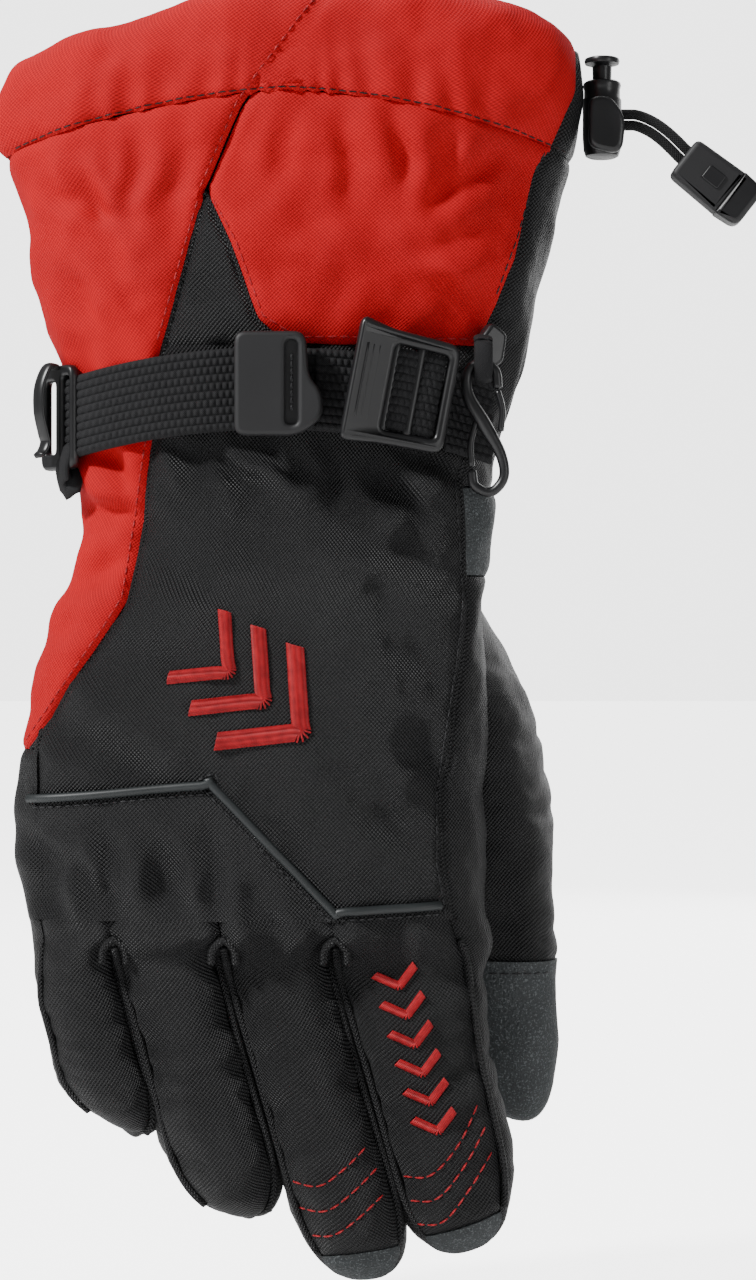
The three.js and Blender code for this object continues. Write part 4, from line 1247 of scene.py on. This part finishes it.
for name, values in FINGERS.items():
    length, cap_start = values[1], values[6]
    edge_angles = (SIDE + 1.5, 180 - SIDE - 1.5)
    w, swell = finger_rows(-2.0, length, stop=(cap_start or length - 1.5) - 0.5)
    for side_name, angle in zip(("right", "left"), edge_angles):
        angles = angle + 0 * w
        surface, k = finger_surface(name, w, swell, angles)
        centre = np.array((values[0], 0, KNUCKLES)) + w[..., None] * DOWN
        outward = surface - centre
        outward /= np.linalg.norm(outward, axis=-1, keepdims=True)
        path = (surface + outward * (0.1 + (1 - k[..., None]) * 0.2))[:, 0]
        piece = tubes(f"{name}_finger_{side_name}_welt", [path[::2]], 0.95, BLACK, "black_fabric", sides=8)
        finger_fabric[name].append(piece)
for i, x in enumerate(EDGES[1:4]):
    shift = (FINGER_TOP - KNUCKLES) * SLIDE - 0.6
    corners = ((-3.0, -239.5), (-2.6, -236), (0, -233.6), (2.6, -236), (3.0, -239.5))
    arch = [(x + shift + dx, z) for dx, z in corners]
    path = spline_points(arch, 6)
    depth_y = front.at(x, -228.0)[1]
    points = np.array([(a, depth_y + 1.2 + 0.35 * (-b - 233.6), b) for a, b in path])
    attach(tubes(f"finger_crotch_welt_{i + 1}", [points], 1.05, BLACK, "black_fabric", sides=8), "root")


def finger_line(name, lateral, down):
    """World (x, z) of points given across and down a finger."""
    origin = np.array((FINGERS[name][0], 0, KNUCKLES))
    return [tuple((origin + a * ACROSS + d * DOWN)[[0, 2]]) for a, d in zip(lateral, down)]


for name in ("middle", "index"):
    cover = Surface([o for o in finger_fabric[name] if "back_black" in o.name or "cap_grey" in o.name])
    lines = []
    for j in range(3):
        if name == "middle":
            points = finger_line(
                name, (-10.5, -4, 3, 11), (56.0 + 7 * j, 58.5 + 6.4 * j, 56.0 + 6.4 * j, 51.5 + 6.6 * j)
            )
        else:
            points = finger_line(
                name, (-10, -3, 6, 14), (55 + 6.2 * j, 56 + 6.0 * j, 50 + 5.6 * j, 40.5 + 6.6 * j)
            )
        lines.append(spline_points(points, 6))
    piece = stitches(
        f"{name}_finger_red_rows", cover, lines, RED_THREAD, None, 2.5, 0.8, 0.26, slot="embroidery"
    )
    finger_fabric[name].append(piece)
thumb_front = Surface(thumb_fabric[:2])
cap_z = THUMB_ROOT[2] - (THUMB_CAP + 2.2) * math.cos(THUMB_SLANT)
piece = stitches("thumb_cap_stitching", thumb_front, [[(44, cap_z), (67, cap_z - 0.3)]], BLACK_THREAD, None)
thumb_fabric.append(piece)

# ---- Embroidery ----

SATIN_POINTS = 5  # points along each satin thread


def satin(name, surface, outline_pairs, material, body, rise=0.75, spacing=0.42):
    """Satin stitch between two edges: each pair gives the (x, z) ends of one thread."""
    paths = []
    for (x0, z0), (x1, z1) in outline_pairs:
        row = []
        for t in np.linspace(0, 1, SATIN_POINTS):
            p = surface.at(
                x0 + (x1 - x0) * t, z0 + (z1 - z0) * t, rise * (0.2 + 0.8 * math.sin(math.pi * t) ** 0.6)
            )
            if p is not None:
                row.append(p)
        if len(row) > 2:
            paths.append(row)
    return place_piece(tubes(name, paths, spacing * 0.62, material, "embroidery", sides=6), body)


def band(points, width, spacing=0.42):
    """Pairs of thread ends across a band that follows points."""
    p = np.array(points, float)
    run = run_along(p)
    at = np.arange(0, run[-1], spacing)
    centre = np.stack([np.interp(at, run, p[:, k]) for k in range(2)], -1)
    d = np.gradient(centre, axis=0)
    d /= np.linalg.norm(d, axis=1, keepdims=True)
    side = np.stack([-d[:, 1], d[:, 0]], -1) * width / 2
    slant = d * width * 0.18
    return [(tuple(a), tuple(b)) for a, b in zip(centre + side + slant, centre - side - slant)]


# A plain motif of three nested chevrons stands where the glove carries a badge.
BADGE_PLACE, BADGE_TURN = (-1.5, -178.5), math.radians(-40)
badge_threads = []
for along, reach, width in ((-17, 10.5, 3.0), (-6, 12.8, 3.6), (6, 15.2, 4.2)):
    arms = [
        (along - reach * 0.95, reach), (along - 2.4, 2.6), (along + 0.2, 0), (along - 2.4, -2.6),
        (along - reach * 0.95, -reach)
    ]
    bent = spline_points(arms, 8)
    turned = [
        (
            BADGE_PLACE[0] + a * math.cos(BADGE_TURN) - b * math.sin(BADGE_TURN),
            BADGE_PLACE[1] + a * math.sin(BADGE_TURN) + b * math.cos(BADGE_TURN),
        )
        for a, b in bent
    ]
    badge_threads += band(turned, width)
badge = satin("chevron_badge", front, badge_threads, RED_THREAD, "root")
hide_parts("embroidered_badge")

# A row of small chevrons runs down the index finger.
index_cover = Surface([o for o in finger_fabric["index"] if "back" in o.name])
index_threads = []
for j in range(6):
    down = 8 + 7.4 * j
    arms = [(-3.6, down - 3.2), (0.4, down), (1.5, down + 0.8), (2.6, down), (6.6, down - 3.2)]
    bent = spline_points(arms, 6)
    index_threads += band(finger_line("index", bent[:, 0], bent[:, 1]), 1.9, 0.4)
finger_fabric["index"].append(
    satin("index_chevrons", index_cover, index_threads, RED_THREAD, None, rise=0.6)
)

# ---- Wrist strap ----

WEBBING_STEP = 0.24  # spacing of the webbing's mesh
STRAP_SECTION = -100.0  # height of the section of the wrist that the strap follows


def strap_height(x):
    """Height of the strap's middle, which arches a little over the wrist."""
    return -98.8 - 0.0028 * (np.asarray(x, float) + 4) ** 2


def strap_point(x, across, above):
    """A point on the strap at x, across its width, and above the glove's outside."""
    z = strap_height(x) + across
    level = np.full(np.shape(x), STRAP_SECTION)
    angle = angle_at(level, x)
    base = hand_point(level, angle)
    ahead = hand_point(level, angle + 1.0)
    tangent = (ahead - base)[..., :2]
    tangent /= np.linalg.norm(tangent, axis=-1, keepdims=True)
    out = np.stack([-tangent[..., 1], tangent[..., 0]], -1)
    out = np.where((out[..., 1] > 0)[..., None], -out, out)
    return np.stack(
        [base[..., 0] + out[..., 0] * above, base[..., 1] + out[..., 1] * above, z + 0 * base[..., 0]], -1
    )


def webbing_strip(name, point, length, width, thick=1.5, rows=10, rib=1.7, depth=0.6):
    """Ribbed webbing: point(share along, millimetres across, above) gives its surface."""
    along = np.linspace(0, 1, int(length / WEBBING_STEP))[None, :]
    across = np.linspace(-width / 2, width / 2, rows * 8 + 1)[:, None]
    grid_along, grid_across = along + 0 * across, across + 0 * along
    u = grid_along * length
    row = (grid_across + width / 2) / width * rows
    offset = 0.5 * (np.floor(row) % 2)
    ribs = np.abs(np.sin(math.pi * (u / rib + offset)))
    rows_profile = np.abs(np.sin(math.pi * row)) ** 0.55
    height = depth * (0.2 * rows_profile + 0.8 * ribs * rows_profile)
    selvage = np.exp(-(((width / 2 - np.abs(grid_across)) / 0.7) ** 2))
    height = height * (1 - 0.6 * selvage) - 0.25 * selvage
    top = point(grid_along, grid_across, thick + height)
    bottom = point(grid_along, grid_across, 0.0 * height)
    quads, faces = slab_faces(*top.shape[:2])
    vertices = np.concatenate([top.reshape(-1, 3), bottom.reshape(-1, 3)])
    normal = np.cross(
        vertices[quads[0, 1]] - vertices[quads[0, 0]], vertices[quads[0, 2]] - vertices[quads[0, 0]]
    )
    if normal @ (top[0, 0] - bottom[0, 0]) < 0:
        faces = faces[:, ::-1]
    uv = np.stack([u, grid_across], -1).reshape(-1, 2)
    made = new_object(name, vertices, faces, WEBBING, np.concatenate([uv, uv]))
    made.data.set_sharp_from_angle(angle=math.radians(60))
    return made


strap = webbing_strip("wrist_strap_webbing", lambda t, v, h: strap_point(-55 + 89 * t, v, 1.5 + h), 98, 20)
place_piece(strap, "root", ["wrist_strap"])
tail = webbing_strip("strap_tail_webbing", lambda t, v, h: strap_point(7 + 17 * t, v, 3.4 + h), 18, 20, 1.2)
place_piece(tail, "strap_tail", ["strap_tail"])
anchor = webbing_strip(
    "buckle_anchor_webbing", lambda t, v, h: strap_point(38 + 11 * t, v, 0.6 + h), 12, 20, 1.2
)
place_piece(anchor, "root", ["buckle_anchor_loop"])

# The strap's moulded end tab.
tab_outline = rounded(
    [
        (-10.4, -12.6, 3), (5.5, -12.6, 5), (11.2, -8.0, 5), (10.8, -2.0, 4), (7.6, 1.6, 4), (6.8, 12.6, 3),
        (-10.4, 12.6, 3),
    ],
    3, 7,
)
tab_slot = oblong(3.0, 20.5, 1.45, 3.4, 0.2)[::-1]
tab_face_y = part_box("strap_end_tab")[0].y / MM
tab_place = np.array((-2.3, tab_face_y + 2.2, -98.0))
tab = plate("strap_end_tab_rubber", [tab_outline, tab_slot], 4.4, 1.1, MATTE, tab_place)
tab_floor = plate(
    "strap_end_tab_floor", [oblong(5.0, 22.0, 1.6, 3.4, 0.2)], 2.2, 0.2, MATTE, tab_place + (0, 0.9, 0)
)
place_piece(tab, "strap_tail", ["strap_end_tab"])
place_piece(tab_floor, "strap_tail")
tab_threads = [
    [tab_place + (3.4, -0.75, z), tab_place + (3.4, -0.95, z + 0.6), tab_place + (3.4, -0.75, z + 1.2)]
    for z in np.arange(-6.5, 6.4, 1.75)
]
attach(tubes("strap_end_tab_stitching", tab_threads, 0.3, BLACK_THREAD, "plastic", sides=6), "strap_tail")

# ---- Ladder-lock buckle ----

BUCKLE_PLACE = np.array((27.2, -29.6, -99.4))
BUCKLE_TURN = (0, 11, 13)


def curl_of(x):
    """How far the thumb plate stands out at x."""
    return 3.4 * np.clip((-x - 3.5) / 9, 0, 1) ** 1.7


def buckle_bend(co):
    """The thumb plate on the left curls outwards and the right bar dips."""
    out = co.copy()
    left = np.clip((-co[:, 0] - 3.5) / 9, 0, 1)
    out[:, 1] -= curl_of(co[:, 0])
    out[:, 2] *= 1 + 0.07 * left
    out[:, 1] += 0.7 * np.clip((co[:, 0] - 6) / 7, 0, 1) ** 2
    return out


buckle_outline = rounded(
    [(-13.2, -14.4, 2.4), (13.4, -13.4, 3.6), (13.4, 13.4, 3.6), (-13.2, 14.4, 2.4)], 3, 8
)
buckle_window = rounded([(-3.0, -10.6), (10.6, -10.3), (10.6, 10.3), (-3.0, 10.6)], 1.4, 5)[::-1]
# Extra points along the plate's long edges let it curl.
dense = lambda loop: [
    start + (end - start) * t
    for start, end in zip(loop, loop[1:] + loop[:1])
    for t in np.linspace(0, 1, max(1, int(np.linalg.norm(end - start) / 1.2)), endpoint=False)
]
buckle = plate(
    "ladder_lock_frame", [dense(buckle_outline), dense(buckle_window)], 3.4, 1.25, GLOSS, BUCKLE_PLACE,
    BUCKLE_TURN, 4, buckle_bend,
)


def in_buckle(points):
    """Points given in the buckle's own frame."""
    return np.asarray(points, float) @ turn_matrix(BUCKLE_TURN).T + BUCKLE_PLACE


bar_line = lambda x, y: in_buckle([(x, y, z) for z in np.linspace(-11.5, 11.5, 12)])
buckle_bars = tubes(
    "ladder_lock_bars", [bar_line(3.6, 0.2), bar_line(-2.6, 0.4)], 1.25, GLOSS, "plastic", sides=10,
    flat=0.8
)
thumb_ridges = tubes(
    "ladder_lock_grip_ridges",
    [in_buckle([(x, -1.75 - curl_of(x), z) for z in np.linspace(-9, 9, 10)]) for x in (-10.6, -9.0, -7.4)],
    0.42, GLOSS, "plastic", sides=8,
)
for piece, nodes in ((buckle, ["ladder_lock_buckle"]), (buckle_bars, ()), (thumb_ridges, ())):
    place_piece(piece, "buckle", nodes)


def turn_point(x_from, x_to, rise):
    def at(t, v, h):
        x = x_from + (x_to - x_from) * t
        y = -(rise * np.sin(math.pi * np.clip(t, 0, 1)) ** 0.6) - h + 1.4
        local = np.stack([x, y, v + 0 * x], -1)
        return in_buckle(local.reshape(-1, 3)).reshape(local.shape)

    return at


turns = [
    webbing_strip("buckle_webbing_left_turn", turn_point(-2.4, 3.9, 1.5), 7, 19.6, thick=1.0),
    webbing_strip("buckle_webbing_right_turn", turn_point(4.4, 10.2, 1.1), 6.4, 19.6, thick=1.0),
]
for piece in turns:
    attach(piece, "buckle")
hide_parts("buckle_webbing_turn")

# ---- Clip on the little finger's side ----

CLIP_PLACE = np.array((-56.8, -7.3, -105.0))
CLIP_TURN = (0, 0, 126)
clip_frame = plate(
    "glove_clip_frame",
    [oblong(15, 26, 3), oblong(3.4, 20.4, 1.0, -4.2, 0)[::-1], oblong(5.0, 18, 1.4, 3.0, 0)[::-1]], 2.6,
    0.9, GLOSS, CLIP_PLACE, CLIP_TURN
)
place_piece(clip_frame, "root", ["clip_frame"])
clip_out = np.array((-math.sin(math.radians(CLIP_TURN[2])), math.cos(math.radians(CLIP_TURN[2])), 0.0))
tongue_profile = [
    (1.5, 12.6), (3.8, 12.4), (5.9, 7.6), (6.1, 1.6), (4.8, -4.0), (4.2, -6.0), (5.0, -8.2), (6.2, -9.4)
]
tongue_points = spline_points([(a, 0, b) for a, b in tongue_profile], 8)
tongue_path = np.array([CLIP_PLACE + clip_out * p[0] + np.array((0, 0, p[2])) for p in tongue_points])
tongue = tubes(
    "glove_clip_tongue", [tongue_path], 2.3, GLOSS, "plastic", sides=12, flat=0.36, up=tuple(clip_out)
)
place_piece(tongue, "clip_tongue", ["clip_tongue"])
fold_path = spline_points(
    [(-54.8, -9.5, -112.6), (-56.1, -9.4, -117), (-55.4, -8.6, -121), (-52.5, -9.4, -120)], 6
)
fold = tubes(
    "clip_webbing_fold", [fold_path], 4.3, WEBBING, "webbing", sides=12, flat=0.26, up=(-0.9, -0.4, 0)
)
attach(fold, "root")

# ---- Snap hook ----

HOOK = np.array((47.6, -22.5, -96.0))
HOOK_LINE = [
    (3.6, 0, -2.4), (2.9, 0, 1.7), (-0.6, 0, 3.5), (-3.7, 0, 1.2), (-3.6, 0, -4.5), (0.6, 0, -12),
    (4.4, 0, -19), (5, 0, -24.5), (1.8, 0, -28), (-2, 0, -26.4), (-2.8, 0, -22.8)
]
hook_path = spline_points(HOOK_LINE, 8) + HOOK
swell_at = lambda t: 0.92 + 0.42 * math.exp(-(((t - 0.47) / 0.16) ** 2))
hook = tubes("snap_hook_body", [hook_path], 1.3, GLOSS, "plastic", sides=14, flat=1.15, taper=swell_at)
place_piece(hook, "snap_hook", ["snap_hook"])
gate = lambda *p: spline_points(p, 6) + HOOK
upper = tubes(
    "snap_hook_gate_upper", [gate((3.6, 0, -3.4), (4.7, 0, -8), (4.3, 0, -13))], 0.8, GLOSS,
    "plastic", sides=10, flat=1.5,
)
lower = tubes(
    "snap_hook_gate_lower", [gate((-2.8, 0, -21.6), (-3.0, 0, -16), (-1.7, 0, -10.8))], 0.8, GLOSS,
    "plastic", sides=10, flat=1.5,
)
place_piece(upper, "upper_gate", ["snap_hook_upper_gate"])
place_piece(lower, "lower_gate", ["snap_hook_lower_gate"])
loop_points = [(0, 4.2, -0.2), (0, 1.6, 0.2), (0, -1.2, 0.4), (0, -3.1, 4.5), (0, -2.2, 8.6), (0, 3.4, 10)]
loop = tubes(
    "snap_hook_webbing_loop", [spline_points(loop_points, 8) + HOOK], 2.3, WEBBING, "webbing",
    sides=12, flat=0.42, up=(0, 0.6, 0.8),
)
place_piece(loop, "root", ["hook_loop"])
latch = plate(
    "snap_hook_anchor_block",
    [rounded([(-2.4, -4.6, 1), (2.6, -1.2, 1), (3.8, 5.6, 1.4), (-0.4, 8.6, 1.4), (-3.4, 4.6, 1.2)], 1, 5)],
    4.2, 1.0, GLOSS, HOOK + (2.0, 3.6, 5.2), (0, 0, 24),
)
place_piece(latch, "root")

# ---- Cord lock, elastic and cord end ----

LOCK = np.array((78.0, 0.0, -30.0))


def lathe(name, outline, material, place, squash=(1, 1), sides=40):
    """A turned shape about z from (radius, height) points."""
    points = np.array(outline, float)
    angle = np.arange(sides) / sides * TURN
    ring = np.stack([np.cos(angle) * squash[0], np.sin(angle) * squash[1]], -1)
    rings = [np.concatenate([ring * radius, np.full((sides, 1), height)], 1) for radius, height in points]
    vertices = np.concatenate([*rings, [[0, 0, points[0, 1]], [0, 0, points[-1, 1]]]])
    faces = []
    n = len(points)
    for i in range(n - 1):
        for k in range(sides):
            m = (k + 1) % sides
            faces.append((i * sides + k, i * sides + m, (i + 1) * sides + m, (i + 1) * sides + k))
    for k in range(sides):
        m = (k + 1) % sides
        faces.append((n * sides, m, k))
        faces.append((n * sides + 1, (n - 1) * sides + k, (n - 1) * sides + m))
    made = new_object(name, vertices + np.asarray(place), faces, material)
    smooth_by_angle(made, 40)
    return made


body_outline = [
    (3.2, 9.4), (4.1, 9.5), (4.7, 9.1), (4.85, 8.4), (4.6, 7.6), (4.6, 5.4), (4.95, 4.8), (4.95, -4.6),
    (4.7, -7.6), (4.2, -9.1), (3.4, -9.5),
]
lock_body = lathe("cord_lock_barrel", body_outline, GLOSS, LOCK, (0.98, 1.32))
lobe = plate(
    "cord_lock_lobe",
    [rounded([(-4.0, -7.0, 3), (4.4, -8.8, 3.6), (5.4, 1.0, 3.4), (1.0, 6.4, 3), (-4.0, 5.6, 3)], 3, 7)],
    3.4, 1.3, GLOSS, LOCK + (0.2, -5.6, -0.8),
)
place_piece(lock_body, "root", ["cord_lock_body"])
place_piece(lobe, "root")
button_outline = [
    (4.2, 15.4), (4.7, 15.2), (4.9, 14.6), (4.7, 13.9), (3.3, 13.6), (2.7, 13.2), (2.6, 10.0), (2.6, 5.8),
]
button = lathe("cord_lock_plunger", button_outline, GLOSS, LOCK, (0.9, 1.18))
place_piece(button, "lock_button", ["cord_lock_button"])
bpy.data.objects["cord_lock_spring"].material_slots[0].material = STEEL

CORD_DIAMETER = 2.6
CORD_SPACING = 2.75
CORD_TURN = math.radians(38)
CORD_ROUTE = [
    (73.8, -30), (79, -30), (84.4, -30), (86.5, -30.1), (88.8, -30.9), (91.2, -32.2), (93.6, -34),
    (96, -36.2), (98.6, -38.8), (102.6, -42.1)
]
for leg, side in (("upper", 1), ("lower", -1)):
    route = []
    for x, z in CORD_ROUTE:
        turn = CORD_TURN * min(1, max(0, (x - 84.4) / 12))
        off = side * CORD_SPACING / 2
        route.append((x + off * math.sin(turn), 0, z + off * math.cos(turn)))
    fine = spline_points(route, 3)
    path = [tuple(p * MM) for p in fine]
    made = tubes(f"elastic_{leg}_leg", [fine], CORD_DIAMETER / 2, CORD, "cord", sides=14)
    place_piece(made, "root", [f"drawcord_{leg}_leg"])

END_PLACE = np.array((106.5, 0.0, -46.0))
END_TURN = (0, 38, 0)
end_body = plate(
    "cord_end_block",
    [rounded([(-10.6, -5.6, 1.8), (4.4, -6.2, 0.6), (4.4, 6.2, 0.6), (-10.6, 5.6, 1.8)], 2, 6)],
    8.2, 1.3, MATTE, END_PLACE, END_TURN,
)
end_cap = plate(
    "cord_end_clip",
    [rounded([(3.9, -6.4, 0.6), (10.6, -5.8, 2.4), (10.6, 5.8, 2.4), (3.9, 6.4, 0.6)], 2, 6)],
    8.6, 1.3, GLOSS, END_PLACE, END_TURN,
)
end_badge = plate(
    "cord_end_raised_panel", [oblong(5.0, 4.0, 0.6, -1.5, 0.4)], 0.9, 0.3, GLOSS,
    END_PLACE + (0, -4.1, 0), END_TURN,
)
place_piece(end_body, "root", ["cord_end_body"])
place_piece(end_cap, "root", ["cord_end_cap"])
place_piece(end_badge, "root")

# ---- CAD nodes that stay, with better materials ----

for node, material in (("hem_drawcord", CORD), ("hand_lining", FLEECE), ("waterproof_membrane", MEMBRANE)):
    bpy.data.objects[node].material_slots[0].material = material
for node in ("insulation_back", "insulation_palm"):
    bpy.data.objects[node].material_slots[0].material = WADDING

# ---- Camera, light and floor ----

camera = bpy.data.objects.new("camera", bpy.data.cameras.new("camera"))
bpy.context.scene.collection.objects.link(camera)
camera.data.sensor_fit = "VERTICAL"
camera.data.sensor_height = 36
camera.data.lens = 100
camera.data.clip_end = 50
VIEW_HEIGHT = 320
camera.location = Vector((22, -VIEW_HEIGHT * 100 / 36, -160)) * MM
camera.rotation_euler = (math.radians(90), 0, 0)
bpy.context.scene.camera = camera


def area_light(name, place, aim, size, power):
    data = bpy.data.lights.new(name, "AREA")
    data.shape = "DISK"
    data.size = size
    data.energy = power
    made = bpy.data.objects.new(name, data)
    made.location = place
    made.rotation_euler = (Vector(aim) - Vector(place)).to_track_quat("-Z", "Y").to_euler()
    bpy.context.scene.collection.objects.link(made)


area_light("key_light", (-1.05, -0.6, 0.9), (0, 0, -0.15), 0.2, 37)
area_light("fill_light", (1.2, -0.9, 0.0), (0, 0, -0.16), 0.6, 3.6)
area_light("top_light", (0.1, 0.4, 1.1), (0, 0, -0.1), 0.8, 10)
area_light("rear_light", (0.5, 1.2, 0.3), (0, 0, -0.16), 1.2, 9)

world = bpy.data.worlds.new("studio")
world.use_nodes = True
sky = world.node_tree.nodes
sky["Background"].inputs[0].default_value = (1, 1, 1, 1)
sky["Background"].inputs[1].default_value = 0.25
seen = sky.new("ShaderNodeBackground")
seen.inputs[1].default_value = 4.2
choose = sky.new("ShaderNodeMixShader")
world.node_tree.links.new(sky.new("ShaderNodeLightPath").outputs["Is Camera Ray"], choose.inputs[0])
world.node_tree.links.new(sky["Background"].outputs[0], choose.inputs[1])
world.node_tree.links.new(seen.outputs[0], choose.inputs[2])
world.node_tree.links.new(choose.outputs[0], sky["World Output"].inputs[0])
bpy.context.scene.world = world

FLOOR_Z = -330.0
# The floor glows for the camera only: it meets the sky without a line and throws no light on the glove.
pale = Graph("pale_floor", Base_Color=(0.93, 0.93, 0.93, 1), Roughness=0.9, Specular_IOR_Level=0.1)
pale.shader.inputs["Emission Color"].default_value = (1, 1, 1, 1)
floor_glow = pale.math("MULTIPLY", pale.node("ShaderNodeLightPath").outputs["Is Camera Ray"], 3.75)
pale.tree.links.new(floor_glow, pale.shader.inputs["Emission Strength"])
floor = new_object(
    "floor",
    [(-9000, -9000, FLOOR_Z), (9000, -9000, FLOOR_Z), (9000, 9000, FLOOR_Z), (-9000, 9000, FLOOR_Z)],
    [(0, 1, 2, 3)], pale.material, smooth=False
)

# ---- Finger and thumb fabric, which crosses joints: transforms baked into the meshes ----

for name, made in finger_fabric.items():
    x = FINGERS[name][0]
    for piece in made:
        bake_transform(piece)
for piece in thumb_fabric:
    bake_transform(piece)
